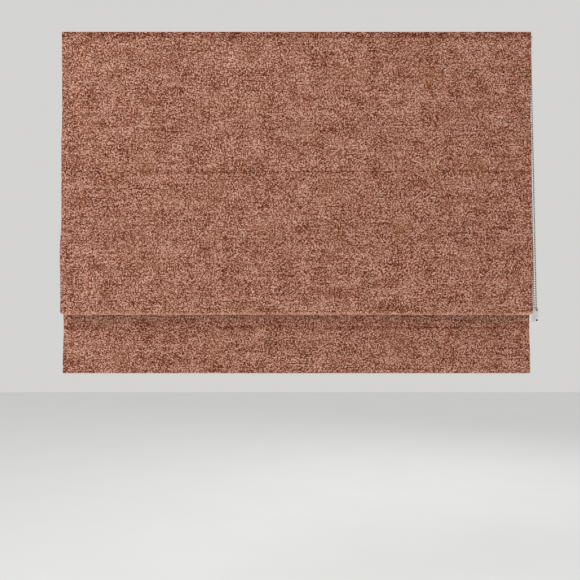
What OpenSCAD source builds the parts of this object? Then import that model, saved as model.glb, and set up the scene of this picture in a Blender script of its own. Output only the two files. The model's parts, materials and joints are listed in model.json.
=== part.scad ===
// Roman blind with a chain-driven headrail, hung on two wall brackets.
// The cloth is shown as it hangs with its lowest pleat gathered up.
// The wall is the plane y = 0, the room is towards -Y, and the origin is the
// middle of the four bracket screws.

/* [Cloth] */
// Finished width of the blind
blind_w = 1200; // [900:10:1600]
// Cloth between one rod and the next
pleat = 280; // [250:2:320]
// Top edge of the cloth down to the first rod
first_pleat = 290; // [250:2:330]
// Length of the hem panel below the third rod
hem_len = 273; // [220:1:320]
// Thickness of the face cloth
face_t = 1.2; // [0.8:0.1:1.6]
// Thickness of the lining
lining_t = 0.5; // [0.3:0.1:0.8]
// Width of the turnings along the sides
turning_w = 38; // [20:1:60]
// Lining set back from each side edge
lining_inset = 20; // [10:1:30]
// How far the cloth at rod 1 stands out from the head
rod_1_out = 5; // [3:0.5:9]
// How far the cloth at rod 2 stands out from the head
rod_2_out = 21; // [18:0.5:23]
// How far the cloth hangs back between the headrail and rod 1
upper_sag = 6.5; // [3:0.5:7]
// How far the cloth hangs back between rods 1 and 2
lower_sag = 11; // [6:0.5:12]
// How far the gathered pleat hangs back below rod 2
pleat_sag = 3; // [0:0.5:5]
// How far the hem panel hangs back
hem_sag = 10; // [4:0.5:11]
// How far the hem's lower edge hangs behind the crest
hem_in = 4.5; // [1:0.5:6]
// Outer radius of the hanging fold
fold_r = 8; // [7:0.5:10]
// Inner radius where the cloth turns down under rod 3
crest_r = 2.5; // [2:0.5:4]
// Outer radius of the hem's lower edge
hem_r = 4.2; // [4:0.1:5]
// Cloth turned up behind the bottom bar
hem_up = 45; // [36:1:60]
// Height of the fastening tape along the head
tape_h = 22; // [16:1:25]
// Thickness of the hooked half of the tape
hook_t = 1; // [0.6:0.1:1.2]
// Thickness of the looped half of the tape
loop_t = 1.5; // [1:0.1:1.7]

/* [Headrail] */
// Depth of the rail
rail_d = 28; // [26:0.5:28]
// Height of the rail's box
rail_h = 28; // [27:0.5:34]
// Wall of the extrusion
rail_wall = 1.4; // [1.2:0.1:1.6]
// Slot along the underside
rail_slot = 21; // [20:0.5:22]
// Outer radius of the rail's corners
rail_corner = 1.2; // [0.6:0.1:1.4]
// Outer width of the hanging track on the top
track_w = 18; // [16:0.5:22]
// Height of the hanging track
track_h = 4; // [3.8:0.1:5]
// Slot along the top of the track
track_slot = 9.6; // [9.4:0.1:10.5]
// Gap between the rail and the wall
rail_back = 6; // [4:0.5:8]
// Thickness of the end cap's plate
cap_plate = 2; // [1.5:0.1:3]
// Length of the end cap's plug
plug_len = 14; // [8:1:24]

/* [Drive] */
// Shaft, across its flats
shaft_af = 6; // [5:0.1:6.5]
// Radius of the drum under the cord
drum_r = 8; // [7:0.1:8.5]
// Radius of the drum's flanges
flange_r = 11; // [10.5:0.1:11.2]
// Thickness of a flange
flange_t = 1.5; // [1:0.1:2]
// Drum between its flanges
drum_w = 24; // [18:1:32]
// Radius of the drum's journals
journal_r = 5; // [4.5:0.1:5.5]
// Wall of a cord cradle
cradle_wall = 3; // [2:0.1:4]
// Outer cord stations set in from the cloth's edges
station_inset = 170; // [150:5:250]
// Diameter of a lift cord
cord_d = 1.4; // [1:0.1:1.6]
// Turns of cord left on a drum
drum_turns = 5; // [3:1:6]
// Wire of the clutch spring
spring_wire = 1; // [0.8:0.1:1.2]
// Coils of the clutch spring
spring_coils = 9; // [5:1:10]
// Wall of the drive housing
housing_wall = 1.5; // [1.2:0.1:1.6]
// Thickness of the housing's cover
cover_t = 1.2; // [1:0.1:1.6]
// Length of the housing's spigot inside the rail
spigot_len = 18; // [16:1:26]

/* [Chain] */
// Diameter of a bead
bead_d = 4.5; // [4:0.1:4.6]
// Distance between beads
bead_pitch = 6; // [5.8:0.1:6.2]
// Pockets round the chain wheel
pockets = 10; // [8:2:10]
// Diameter of the pins that link the beads
link_d = 1.4; // [1.2:0.1:1.6]
// Wheel's axis down to the holder's saddle
chain_drop = 709; // [500:1:900]
// How far the chain leans out on its way down
chain_lean = 15; // [0:1:20]
// Wall of the chain holder
holder_wall = 1.6; // [1.4:0.1:2]
// Height of the chain holder
holder_h = 36; // [34:1:42]
// Distance between the holder's two screws
holder_screws = 26; // [25:1:27]
// Screw holes of the holder
holder_hole_d = 3.2; // [3:0.1:3.4]

/* [Rods] */
// Diameter of a rod
rod_d = 5; // [4:0.1:6]
// Rod ends set back from the cloth's edge
rod_inset = 14; // [12:1:30]
// Thickness of the rod tape
tape_t = 0.6; // [0.4:0.1:0.8]
// Height by which rod 3 hangs below rod 2
stack_gap = 22; // [20:1:30]
// Radius of a cord ring, at the middle of its wire
ring_r = 4.5; // [4.2:0.1:5]
// Wire of a cord ring
ring_wire = 2.2; // [1.8:0.1:2.4]
// Width of the clip that holds a ring
clip_w = 6; // [4:0.5:10]
// Wall of the clip
clip_wall = 1.2; // [0.8:0.1:1.6]
// Length of a rod's end cap
rod_cap_len = 10; // [6:1:12]
// Length of a cord stop
stop_len = 14; // [10:1:18]
// Radius of a cord stop
stop_r = 3; // [2.5:0.1:3.2]

/* [Foot] */
// Height of the bottom bar
bar_h = 28; // [20:1:34]
// Thickness of the bottom bar
bar_t = 4.5; // [4:0.1:4.8]
// Length of a bar cap
bar_cap_len = 8; // [4:1:12]

/* [Fixing] */
// Brackets set in from the cloth's edges
bracket_inset = 150; // [100:10:250]
// Width of a bracket
bracket_w = 32; // [24:1:50]
// Thickness of the bracket's steel
bracket_t = 1.6; // [1.4:0.1:2]
// Screw holes of a bracket
screw_d = 4.5; // [4:0.1:5]
// Height between a bracket's two screws
screw_rows = 16; // [12:1:18]
// Inner radius of the bracket's bends
bend_r = 0.8; // [0.6:0.1:1.2]
// Radius of the locking pin
pin_r = 2.5; // [2:0.1:3]
// Length of the locking lever
lever_len = 15; // [12:0.5:16]
// Thickness of the locking lever
lever_t = 2; // [1.5:0.1:2.5]

/* [Hidden] */
$fn = 48;

// Clearances: sewn or resting, running, and loose
stitch = 0.05;
run_gap = 0.05;
slip = 0.3;
// Extra length of a cutting shape past the surface it cuts
over = 1;

// Headrail
rail_bottom = -(rail_h + track_h) / 2;
rail_top = -rail_bottom;
box_top = rail_top - track_h;
axis_y = -(rail_back + rail_d / 2);
rail_front = -(rail_back + rail_d);
rail_floor = rail_bottom + rail_wall;
rail_left = -blind_w / 2 + cap_plate + 2;
plug_half = rail_d / 2 - rail_wall - slip;
plug_h = rail_h - 2 * rail_wall - slip;
end_corner = 2;

// Cord stations
base_t = 1.5;
base_gap = 0.6;
axis_z = rail_floor + base_t + base_gap + flange_r;
stations = [station_inset - blind_w / 2, 0, blind_w / 2 - station_inset];
cord_r = cord_d / 2;
coil_r = drum_r + cord_r + stitch;
cord_y = axis_y - coil_r;
eye_r = cord_r + 0.5;
drum_half = drum_w / 2 + flange_t;
cradle_half = drum_half + slip + cradle_wall;
cradle_foot = 6;
foot_drop = 1;
shaft_r = shaft_af / sqrt(3);
hex_r = shaft_r + run_gap;

// Chain wheel, its housing and the chain's holder
bead_r = bead_d / 2;
link_r = link_d / 2;
wheel_r = bead_pitch / (2 * sin(180 / pockets));
pocket_r = bead_r + slip;
wheel_side = 0.8;
wheel_half = pocket_r + wheel_side;
disc_r = wheel_r + bead_r / 2;
chamber_half = wheel_half + slip;
chamber_r = wheel_r + bead_r + 2 * slip;
housing_r = chamber_r + housing_wall;
wheel_x = blind_w / 2 + 0.5;
housing_in = wheel_x - chamber_half - housing_wall;
housing_out = wheel_x + chamber_half;
collar_len = spigot_len / 3;
hub_r = 6;
core_r = 8.6;
pin_journal_r = 3;
bush_flange = 2;
shaft_left = rail_left + 2;
shaft_right = housing_in - 3;
holder_x = wheel_x + chain_lean;
holder_z = axis_z - chain_drop;
holder_low = holder_z - wheel_r - bead_r - holder_wall - slip;
holder_front = axis_y - wheel_r - bead_r - holder_wall - slip;
holder_corner = 3;
connector_at = 0.3;
connector_wall = 1;

// Bracket and lock
bracket_x = blind_w / 2 - bracket_inset;
bracket_top = rail_top + bracket_t;
bend = bracket_t + bend_r;
bracket_lip = rail_front + 2;
lever_z = bracket_top + slip;
lever_side = 0.5;

// Depths and levels of the cloth's show side
head_depth = -rail_front + hook_t + loop_t + stitch + face_t;
rod_1_depth = head_depth + rod_1_out;
rod_2_depth = head_depth + rod_2_out;
fold_depth = rod_2_depth - 4;
cloth_top = bracket_top + 0.4;
cloth_head = rail_bottom;
lining_at = 2 * face_t + slip;
lining_back = lining_at + lining_t;
rod_r = rod_d / 2;
tape_in = rod_r + slip;
tape_out = tape_in + tape_t;
rod_off = lining_back + stitch + tape_out;
rod_1_z = cloth_top - first_pleat;
rod_2_z = rod_1_z - pleat;
rod_3_z = rod_2_z - stack_gap;
crest_y = -fold_depth + 2 * fold_r + crest_r;
crest_z = rod_3_z - crest_r - rod_off;
fold_drop = (pleat + rod_2_z - crest_z - PI * fold_r) / 2 + fold_r;
fold_z = rod_2_z - fold_drop;
hem_depth = -crest_y - crest_r - hem_in;
hem_z = crest_z - hem_len;
bar_end = blind_w / 2 - turning_w - slip;
bar_low = hem_z + face_t + stitch;
bar_top = bar_low + bar_h;
sewn_in = 1.6;
sag_at = 0.65;

// Rods, rings and cords
rod_ys = [-rod_1_depth + rod_off, -rod_2_depth + rod_off, crest_y];
rod_zs = [rod_1_z, rod_2_z, rod_3_z];
rod_end = blind_w / 2 - rod_inset;
clip_in = tape_out + 2 * stitch;
clip_out = clip_in + clip_wall;
clip_bite = 2;
ring_off = clip_in + ring_wire / 2 + ring_r;
cord_lean = ring_r - ring_wire / 2 - cord_r - slip;
stop_drop = 6;
stop_y = rod_ys[2] + ring_off + 1;

// Points of an arc about c, from angle a to angle b
function arc(c, r, a, b, n = 12) =
    [for (i = [0:n]) c + r * [cos(a + (b - a) * i / n), sin(a + (b - a) * i / n)]];

// Points of a soft curve through the knots, level at each knot
function soft_curve(knots, n = 10) = [
    for (k = [0:len(knots) - 2])
        for (i = [0:n - 1])
            let (a = knots[k], b = knots[k + 1], t = i / n)
                [a[0] + (b[0] - a[0]) * (1 - cos(180 * t)) / 2, a[1] + (b[1] - a[1]) * t]
];

// Unit normal on the left of the travel along a line of points
function left_normal(line, i) =
    let (
        a = line[max(i - 1, 0)],
        b = line[min(i + 1, len(line) - 1)],
        d = (b - a) / norm(b - a)
    ) [-d[1], d[0]];

// A line moved sideways by d
function beside(line, d) = [for (i = [0:len(line) - 1]) line[i] + d * left_normal(line, i)];

function reversed(line) = [for (i = [len(line) - 1:-1:0]) line[i]];

// Outline of a band between two distances beside a line
function band(line, d0, d1) = concat(beside(line, d0), reversed(beside(line, d1)));

// The place between a and b where the cloth hangs back furthest, by d
function sagged(a, b, d) = a + sag_at * (b - a) + [d, 0];

// The cloth's show side, from its top edge down to the hem
head_at = [-head_depth, cloth_head];
rod_1_at = [-rod_1_depth, rod_1_z];
rod_2_at = [-rod_2_depth, rod_2_z];
fold_at = [-fold_depth, fold_z + fold_r];
crest_at = [crest_y + crest_r, crest_z - 1];
hem_at = [-hem_depth, bar_top];
front_line = concat(
    soft_curve([
        [-head_depth, cloth_top],
        head_at,
        sagged(head_at, rod_1_at, upper_sag),
        rod_1_at,
        sagged(rod_1_at, rod_2_at, lower_sag),
        rod_2_at,
        sagged(rod_2_at, fold_at, pleat_sag),
        fold_at
    ]),
    arc(fold_at + [fold_r, 0], fold_r, 180, 360),
    arc([crest_y, crest_z], crest_r, 180, 0)
);
hem_panel = concat(soft_curve([crest_at, sagged(crest_at, hem_at, hem_sag), hem_at]), [hem_at]);
hang_line = concat(front_line, hem_panel);

// The hem's turn round the bottom bar, up behind it and in to where it is sewn
hem_line = concat(
    arc([-hem_depth + hem_r, hem_z + hem_r], hem_r, 180, 360),
    [[-hem_depth + 2 * hem_r, bar_top], [-hem_depth + 2 * hem_r - sewn_in, hem_z + hem_r + hem_up]]
);

// The part of the hanging line that the lining covers
lining_line = concat(
    [for (p = front_line) if (p[1] < cloth_head) p],
    [for (p = hem_panel) if (p[1] > hem_z + hem_up + 2 * hem_r) p]
);

// Points on rings of n sides about each centre, spanned by two directions u and v
function ring_points(centres, us, vs, r, n) = [
    for (i = [0:len(centres) - 1])
        for (k = [0:n - 1]) centres[i] + r * (cos(360 * k / n) * us[i] + sin(360 * k / n) * vs[i])
];

// Faces that close a tube of m rings with n sides
function tube_faces(m, n) = concat(
    [[for (k = [0:n - 1]) k]],
    [
        for (i = [0:m - 2])
            for (k = [0:n - 1])
                let (a = i * n + k, b = i * n + (k + 1) % n)
                    each [[a, a + n, b + n], [a, b + n, b]]
    ],
    [[for (k = [n - 1:-1:0]) (m - 1) * n + k]]
);

// A helix of wire along X that comes down to the front of its turn at x = 0
module wire_coil(r, wire_r, pitch, turns, steps = 16, sides = 6) {
    n = turns * steps;
    turn = [for (i = [0:n]) 180 - 360 * (n - i) / steps];
    out = [for (a = turn) [0, cos(a), sin(a)]];
    centres = [for (i = [0:n]) r * out[i] - [pitch * (n - i) / steps, 0, 0]];
    across = [for (i = [0:n]) [1, 0, 0]];
    polyhedron(ring_points(centres, across, out, wire_r, sides), tube_faces(n + 1, sides));
}

// Carries a profile drawn in Y and Z along X
module along_x(x0, x1) {
    translate([x0, 0, 0]) rotate([90, 0, 90]) linear_extrude(x1 - x0) children();
}

// A round bar along X
module rod_x(r, x0, x1, y = axis_y, z = axis_z, sides = 48) {
    translate([x0, y, z]) rotate([0, 90, 0]) cylinder(r = r, h = x1 - x0, $fn = sides);
}

// A rectangle from corner a to corner b with round corners
module rounded_box(a, b, r) {
    translate([a[0] + r, a[1]]) square([b[0] - a[0] - 2 * r, b[1] - a[1]]);
    translate([a[0], a[1] + r]) square([b[0] - a[0], b[1] - a[1] - 2 * r]);
    for (x = [a[0] + r, b[0] - r], y = [a[1] + r, b[1] - r]) translate([x, y]) circle(r);
}

// Box of the rail, open along the underside, with the hanging track on top
module rail_profile() {
    inner = rail_d / 2 - rail_wall;
    translate([axis_y, 0]) {
        difference() {
            rounded_box([-rail_d / 2, rail_bottom], [rail_d / 2, box_top], rail_corner);
            translate([-inner, rail_bottom + rail_wall]) square([2 * inner, rail_h - 2 * rail_wall]);
            translate([-rail_slot / 2, rail_bottom - 1]) square([rail_slot, rail_wall + 2]);
        }
        difference() {
            translate([-track_w / 2, box_top - rail_wall / 2]) square([track_w, track_h + rail_wall / 2]);
            translate([-track_w / 2 + rail_wall, box_top])
                square([track_w - 2 * rail_wall, track_h - rail_wall]);
            translate([-track_slot / 2, box_top]) square([track_slot, track_h + 1]);
        }
    }
}

module headrail() {
    color("white") along_x(rail_left, housing_in) rail_profile();
}

// Plate over the rail's left end, with a plug that carries the shaft's bush
module end_cap() {
    color("white") difference() {
        union() {
            along_x(rail_left - cap_plate, rail_left)
                rounded_box([rail_front, rail_bottom], [-rail_back, rail_top], end_corner);
            along_x(rail_left, rail_left + plug_len) difference() {
                translate([axis_y - plug_half, rail_floor]) square([2 * plug_half, plug_h]);
                translate([axis_y, axis_z]) difference() {
                    square([3 * plug_half, 3], center = true);
                    circle(core_r);
                }
            }
        }
        rod_x(journal_r + run_gap, rail_left, rail_left + plug_len + over);
    }
}

// Flanged bush on the left end of the shaft
module shaft_bush() {
    plug_end = rail_left + plug_len;
    color("gainsboro") difference() {
        union() {
            rod_x(journal_r, rail_left + slip, plug_end + slip + bush_flange);
            rod_x(journal_r + bush_flange, plug_end + slip, plug_end + slip + bush_flange);
        }
        rod_x(hex_r, rail_left, plug_end + slip + bush_flange + over, sides = 6);
    }
}

module drive_shaft() {
    color("silver") rod_x(shaft_r, shaft_left, shaft_right, sides = 6);
}

// Outline of the chain chamber: a round crown over a straight skirt
module chamber_profile(r, bottom) {
    translate([axis_y, axis_z]) circle(r);
    translate([axis_y - r, bottom]) square([2 * r, axis_z - bottom]);
}

// Case of the chain drive, with a hollow spigot that plugs into the rail
module drive_housing() {
    color("white") difference() {
        union() {
            along_x(housing_in, housing_out) chamber_profile(housing_r, rail_bottom);
            along_x(housing_in, housing_in + housing_wall)
                rounded_box([rail_front, rail_bottom], [-rail_back, rail_top], end_corner);
            rod_x(core_r, housing_in - spigot_len, housing_in + housing_wall);
            along_x(housing_in - collar_len, housing_in)
                translate([axis_y - plug_half, rail_floor]) square([2 * plug_half, plug_h]);
        }
        along_x(housing_in + housing_wall, housing_out + over)
            chamber_profile(chamber_r, rail_bottom - over);
        rod_x(hub_r + run_gap, housing_in - spigot_len - over, housing_out);
    }
}

// Lid of the drive housing, with the pin that carries the wheel's outer side
module housing_cover() {
    color("white") union() {
        along_x(housing_out, housing_out + cover_t) chamber_profile(housing_r, rail_bottom);
        rod_x(pin_journal_r, housing_out - wheel_half, housing_out + cover_t / 2);
    }
}

// Spring wound on the spigot: it grips until the chain is pulled
module clutch_spring() {
    wire_r = spring_wire / 2;
    color("dimgray") translate([housing_in - collar_len - spring_wire, axis_y, axis_z])
        wire_coil(core_r + wire_r + stitch, wire_r, spring_wire + stitch, spring_coils, 24);
}

// Wheel with a round gullet for each bead between two side discs, on a hub that drives the shaft
module chain_wheel() {
    pocket_half = wheel_half - wheel_side;
    color("whitesmoke") difference() {
        union() {
            along_x(wheel_x - wheel_half, wheel_x + wheel_half) translate([axis_y, axis_z]) difference() {
                circle(wheel_r + slip);
                for (k = [0:pockets - 1])
                    rotate(360 * k / pockets) translate([wheel_r, 0]) circle(pocket_r);
            }
            for (x = [wheel_x - wheel_half, wheel_x + pocket_half]) rod_x(disc_r, x, x + wheel_side);
            rod_x(hub_r, housing_in - spigot_len, wheel_x);
        }
        translate([wheel_x, axis_y, axis_z]) rotate([0, 90, 0]) rotate_extrude()
            translate([wheel_r - link_r - slip, -link_r - slip]) square([bead_d, 2 * (link_r + slip)]);
        rod_x(hex_r, housing_in - spigot_len - over, shaft_right + slip, sides = 6);
        rod_x(pin_journal_r + run_gap, housing_out - wheel_half - slip, wheel_x + wheel_half + over);
    }
}

// Support of one drum: two bearing walls on a base with the cord's eye
module cord_cradle(x) {
    boss_r = journal_r + cradle_wall;
    color("white") difference() {
        union() {
            along_x(x - cradle_half, x + cradle_half)
                translate([axis_y - plug_half, rail_floor]) square([2 * plug_half, base_t]);
            for (wall_x = [x - cradle_half, x + cradle_half - cradle_wall])
                along_x(wall_x, wall_x + cradle_wall) {
                    translate([axis_y - plug_half, rail_floor])
                        square([2 * plug_half, axis_z - rail_floor - journal_r]);
                    translate([axis_y, axis_z]) circle(boss_r);
                    translate([axis_y - boss_r, rail_floor]) square([2 * boss_r, axis_z - rail_floor]);
                }
            along_x(x - cradle_foot, x + cradle_foot)
                translate([axis_y - rail_slot / 2 + slip, rail_bottom - foot_drop])
                    square([rail_slot - 2 * slip, foot_drop + rail_wall + base_t / 2]);
        }
        rod_x(journal_r + run_gap, x - cradle_half - over, x + cradle_half + over);
        translate([x, cord_y, rail_bottom - foot_drop - over])
            cylinder(r = eye_r, h = foot_drop + rail_wall + base_t + 2 * over);
    }
}

// Drum with two flanges and two journals, broached for the shaft
module cord_drum(x) {
    color("whitesmoke") difference() {
        union() {
            rod_x(drum_r, x - drum_half, x + drum_half);
            for (flange_x = [x - drum_half, x + drum_half - flange_t])
                rod_x(flange_r, flange_x, flange_x + flange_t);
            rod_x(journal_r, x - cradle_half - slip, x + cradle_half + slip);
        }
        rod_x(hex_r, x - cradle_half - over, x + cradle_half + over, sides = 6);
    }
}

// Cord still wound on a drum
module cord_turns(x) {
    color("ivory") translate([x, axis_y, axis_z])
        wire_coil(coil_r, cord_r, cord_d + stitch, drum_turns, 20);
}

// One lift cord, from its drum through the rings to the stop under rod 3
module lift_cord(x) {
    route = [
        [x, cord_y, axis_z - stitch],
        [x, rod_ys[0] + ring_off - cord_lean, rod_1_z],
        [x, rod_ys[1] + ring_off + cord_lean, rod_2_z],
        [x, rod_ys[2] + ring_off - cord_lean, rod_3_z],
        [x, stop_y, rod_3_z - stop_drop],
        [x, stop_y, rod_3_z - stop_drop - stop_len / 2]
    ];
    across = [for (p = route) [-1, 0, 0]];
    deep = [for (p = route) [0, 1, 0]];
    color("ivory") polyhedron(ring_points(route, across, deep, cord_r, 8), tube_faces(len(route), 8));
}

module hook_tape() {
    color("white") along_x(rail_left + turning_w, housing_in - turning_w)
        translate([rail_front - hook_t, box_top - tape_h - 1]) square([hook_t, tape_h]);
}

module loop_tape() {
    color("ivory") along_x(rail_left + turning_w, housing_in - turning_w)
        translate([rail_front - hook_t - loop_t, box_top - tape_h - 1]) square([loop_t, tape_h]);
}

// One sheet: hanging line, turned sides and the hem round the bar
module face_fabric() {
    half = blind_w / 2;
    color([0.55, 0.24, 0.16]) union() {
        along_x(-half, half) polygon(band(concat(hang_line, hem_line), 0, face_t));
        for (x = [-half, half - turning_w])
            along_x(x, x + turning_w) polygon(band(hang_line, face_t / 2, 2 * face_t));
    }
}

module lining() {
    half = blind_w / 2 - lining_inset;
    color("ivory") along_x(-half, half) polygon(band(lining_line, lining_at, lining_back));
}

module rod(i) {
    color("lightgray") rod_x(rod_r, -rod_end, rod_end, rod_ys[i], rod_zs[i]);
}

// Sewn tunnel that holds a rod
module rod_tape(i) {
    reach = rod_end - rod_cap_len;
    color("ivory") difference() {
        rod_x(tape_out, -reach, reach, rod_ys[i], rod_zs[i]);
        rod_x(tape_in, -reach - over, reach + over, rod_ys[i], rod_zs[i]);
    }
}

// Round caps on both ends of a rod
module rod_caps(i) {
    color("white") for (side = [-1, 1]) {
        mid = side * (rod_end - rod_cap_len / 2);
        half = rod_cap_len / 2 - slip;
        difference() {
            union() {
                rod_x(tape_out, mid - half, mid + half, rod_ys[i], rod_zs[i]);
                translate([mid + side * half, rod_ys[i], rod_zs[i]]) sphere(r = tape_out);
            }
            rod_x(rod_r + run_gap, -rod_end - slip, rod_end + slip, rod_ys[i], rod_zs[i]);
        }
    }
}

// Rings for the lift cords, each with a clip round the rod tape
module cord_rings(i) {
    mouth = i == 2 ? 90 : 0;
    color("white") for (x = stations) translate([x, rod_ys[i], rod_zs[i]]) {
        difference() {
            rotate([0, 90, 0]) cylinder(r = clip_out, h = clip_w, center = true);
            rotate([0, 90, 0]) cylinder(r = clip_in, h = clip_w + over, center = true);
            rotate([mouth, 0, 0]) translate([-clip_w, -2 * clip_out - clip_bite, -2 * clip_out])
                cube([2 * clip_w, 2 * clip_out, 4 * clip_out]);
        }
        translate([0, ring_off, 0]) rotate_extrude() translate([ring_r, 0]) circle(ring_wire / 2);
    }
}

// Flat bar with round edges in the hem
module bottom_bar() {
    color("silver") along_x(-bar_end + bar_cap_len, bar_end - bar_cap_len) bar_profile();
}

module bar_profile() {
    mid = -hem_depth + hem_r;
    translate([mid - bar_t / 2, bar_low + bar_t / 2]) square([bar_t, bar_h - bar_t]);
    for (z = [bar_low + bar_t / 2, bar_low + bar_h - bar_t / 2]) translate([mid, z]) circle(bar_t / 2);
}

// Plastic ends of the bottom bar
module bar_caps() {
    color("white") for (x = [-bar_end, bar_end - bar_cap_len]) along_x(x, x + bar_cap_len) bar_profile();
}

// Bell-shaped stops on the ends of the lift cords
module cord_stops() {
    color("white") for (x = stations) translate([x, stop_y, rod_3_z - stop_drop - stop_len])
        difference() {
            rotate_extrude() polygon([
                [0, 0], [stop_r, 0], [stop_r, stop_len / 3], [stop_r * 0.55, stop_len], [0, stop_len]
            ]);
            translate([0, 0, stop_len / 2 - slip]) cylinder(r = cord_r + stitch, h = stop_len);
        }
}

// Outline of a row of beads on a line of links, for turning about the row
function bead_outline(n, pitch) =
    let (edge = acos(link_r / bead_r), steps = 4)
        concat(
            [[0, -bead_r]],
            [
                for (i = [0:n])
                    for (k = [0:steps])
                        let (a = -edge + 2 * edge * k / steps)
                            if (!(i == 0 && k == 0) && !(i == n && k == steps))
                                [bead_r * cos(a), i * pitch + bead_r * sin(a)]
            ],
            [[0, n * pitch + bead_r]]
        );

// One straight run of chain from point a down to point b
module chain_run(a, b) {
    run = b - a;
    n = round(norm(run) / bead_pitch);
    translate(a) rotate([0, acos(run[2] / norm(run)), atan2(run[1], run[0])])
        rotate_extrude($fn = 24) polygon(bead_outline(n, norm(run) / n));
}

// Half a turn of chain about an axis along X: beads on a bent line of links
module chain_turn(x, z, start) {
    translate([x, axis_y, z]) {
        for (k = [1:pockets / 2 - 1])
            rotate([start + 360 * k / pockets, 0, 0]) translate([0, wheel_r, 0]) sphere(r = bead_r);
        rotate([start, 0, 0]) rotate([0, 90, 0]) rotate([0, 0, 90])
            rotate_extrude(angle = 180) translate([wheel_r, 0]) circle(link_r, $fn = 16);
    }
}

// The control chain: two runs, a turn over the wheel and a turn under the saddle
module bead_chain() {
    color("gray") union() {
        for (side = [-1, 1])
            chain_run([wheel_x, axis_y + side * wheel_r, axis_z],
                      [holder_x, axis_y + side * wheel_r, holder_z]);
        chain_turn(wheel_x, axis_z, 0);
        chain_turn(holder_x, holder_z, 180);
    }
}

// Split sleeve that joins the ends of the chain, on its rear run
module chain_connector() {
    top = [wheel_x, axis_y + wheel_r, axis_z];
    foot = [holder_x, axis_y + wheel_r, holder_z];
    run = foot - top;
    beads = round(norm(run) / bead_pitch);
    at = top + run * (round(beads * connector_at) + 0.5) / beads;
    color("lightgray") translate(at) rotate([0, acos(run[2] / norm(run)), atan2(run[1], run[0])])
        difference() {
            cylinder(r = bead_r + stitch + connector_wall, h = 2 * bead_pitch + 1, center = true);
            cylinder(r = bead_r + stitch, h = 3 * bead_pitch, center = true);
        }
}

// Slim box on the wall with a saddle that keeps the chain loop in place
module chain_holder() {
    gap = bead_d + 4 * slip;
    half = gap / 2 + holder_wall;
    top = holder_low + holder_h;
    color([0.95, 0.95, 0.93]) difference() {
        union() {
            difference() {
                along_x(holder_x - half, holder_x + half)
                    rounded_box([holder_front, holder_low], [0, top], holder_corner);
                along_x(holder_x - gap / 2, holder_x + gap / 2)
                    rounded_box([holder_front + holder_wall, holder_low + holder_wall],
                                [-holder_wall, top + 2 * holder_corner], holder_corner - over);
            }
            rod_x(wheel_r - bead_r - slip, holder_x - half, holder_x + half, axis_y, holder_z);
        }
        for (side = [-1, 1])
            translate([holder_x, 0, (holder_low + top + side * holder_screws) / 2]) rotate([90, 0, 0]) {
                translate([0, 0, -over]) cylinder(d = holder_hole_d, h = holder_wall + 2 * over);
                translate([0, 0, -holder_front - holder_wall - over])
                    cylinder(d = gap - slip, h = holder_wall + 2 * over);
            }
    }
}

// The bracket's bent strip, from the foot of its wall leg over to its front lip
bracket_line = concat(
    [[0, rail_bottom + over]],
    arc([-bend, bracket_top - bend], bend, 0, 90, 6),
    arc([bracket_lip + bend, bracket_top - bend], bend, 90, 180, 6),
    [[bracket_lip, box_top + slip]]
);

// Sheet bracket over the rail, with two screw holes and the hole for the lock
module bracket(x) {
    color("whitesmoke") difference() {
        along_x(x - bracket_w / 2, x + bracket_w / 2) polygon(band(bracket_line, 0, bracket_t));
        for (z = [-1, 1])
            translate([x, over, z * screw_rows / 2]) rotate([90, 0, 0])
                cylinder(d = screw_d, h = bracket_t + 2 * over);
        translate([x, axis_y, rail_top - over]) cylinder(r = pin_r + run_gap, h = bracket_t + 2 * over);
    }
}

// Locking lever on top of a bracket, with a cam that turns under the track's lips
module lock_lever(x) {
    cam_t = track_h - rail_wall - 2 * slip;
    cam_w = track_slot - 2 * slip;
    cam_len = track_w - 2 * rail_wall - 2 * slip;
    color("white") translate([x, axis_y, 0]) {
        translate([0, 0, box_top + slip]) linear_extrude(cam_t) intersection() {
            square([cam_w, cam_len], center = true);
            circle(cam_len / 2);
        }
        translate([0, 0, box_top + slip]) cylinder(r = pin_r, h = lever_z - box_top);
        translate([0, 0, lever_z]) linear_extrude(lever_t) {
            circle(pin_r + lever_t);
            translate([0, -pin_r - lever_side]) square([lever_len - pin_r, 2 * (pin_r + lever_side)]);
            translate([lever_len - pin_r, 0]) circle(pin_r + lever_side);
        }
    }
}

headrail();
end_cap();
drive_housing();
housing_cover();
clutch_spring();
chain_wheel();
drive_shaft();
shaft_bush();
bracket(-bracket_x);  // bracket_left
bracket(bracket_x);  // bracket_right
lock_lever(-bracket_x);  // lock_lever_left
lock_lever(bracket_x);  // lock_lever_right
hook_tape();
loop_tape();
face_fabric();
lining();
for (i = [0:2]) {
    cord_cradle(stations[i]);
    cord_drum(stations[i]);
    cord_turns(stations[i]);
    lift_cord(stations[i]);
    rod(i);
    rod_tape(i);
    rod_caps(i);
    cord_rings(i);
}
bottom_bar();
bar_caps();
cord_stops();
bead_chain();
chain_connector();
chain_holder();
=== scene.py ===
"""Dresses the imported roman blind: its cloth, lining, tapes, cords, chain, finishes, light and camera.

Every size is in metres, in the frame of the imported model: +X to the right along the headrail,
+Y into the wall and +Z up.
"""

from __future__ import annotations

import json
import logging
import math
from dataclasses import dataclass
from enum import Enum
from typing import Any, Sequence

import bpy
import numpy as np
from mathutils import Matrix, Vector, noise

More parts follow.
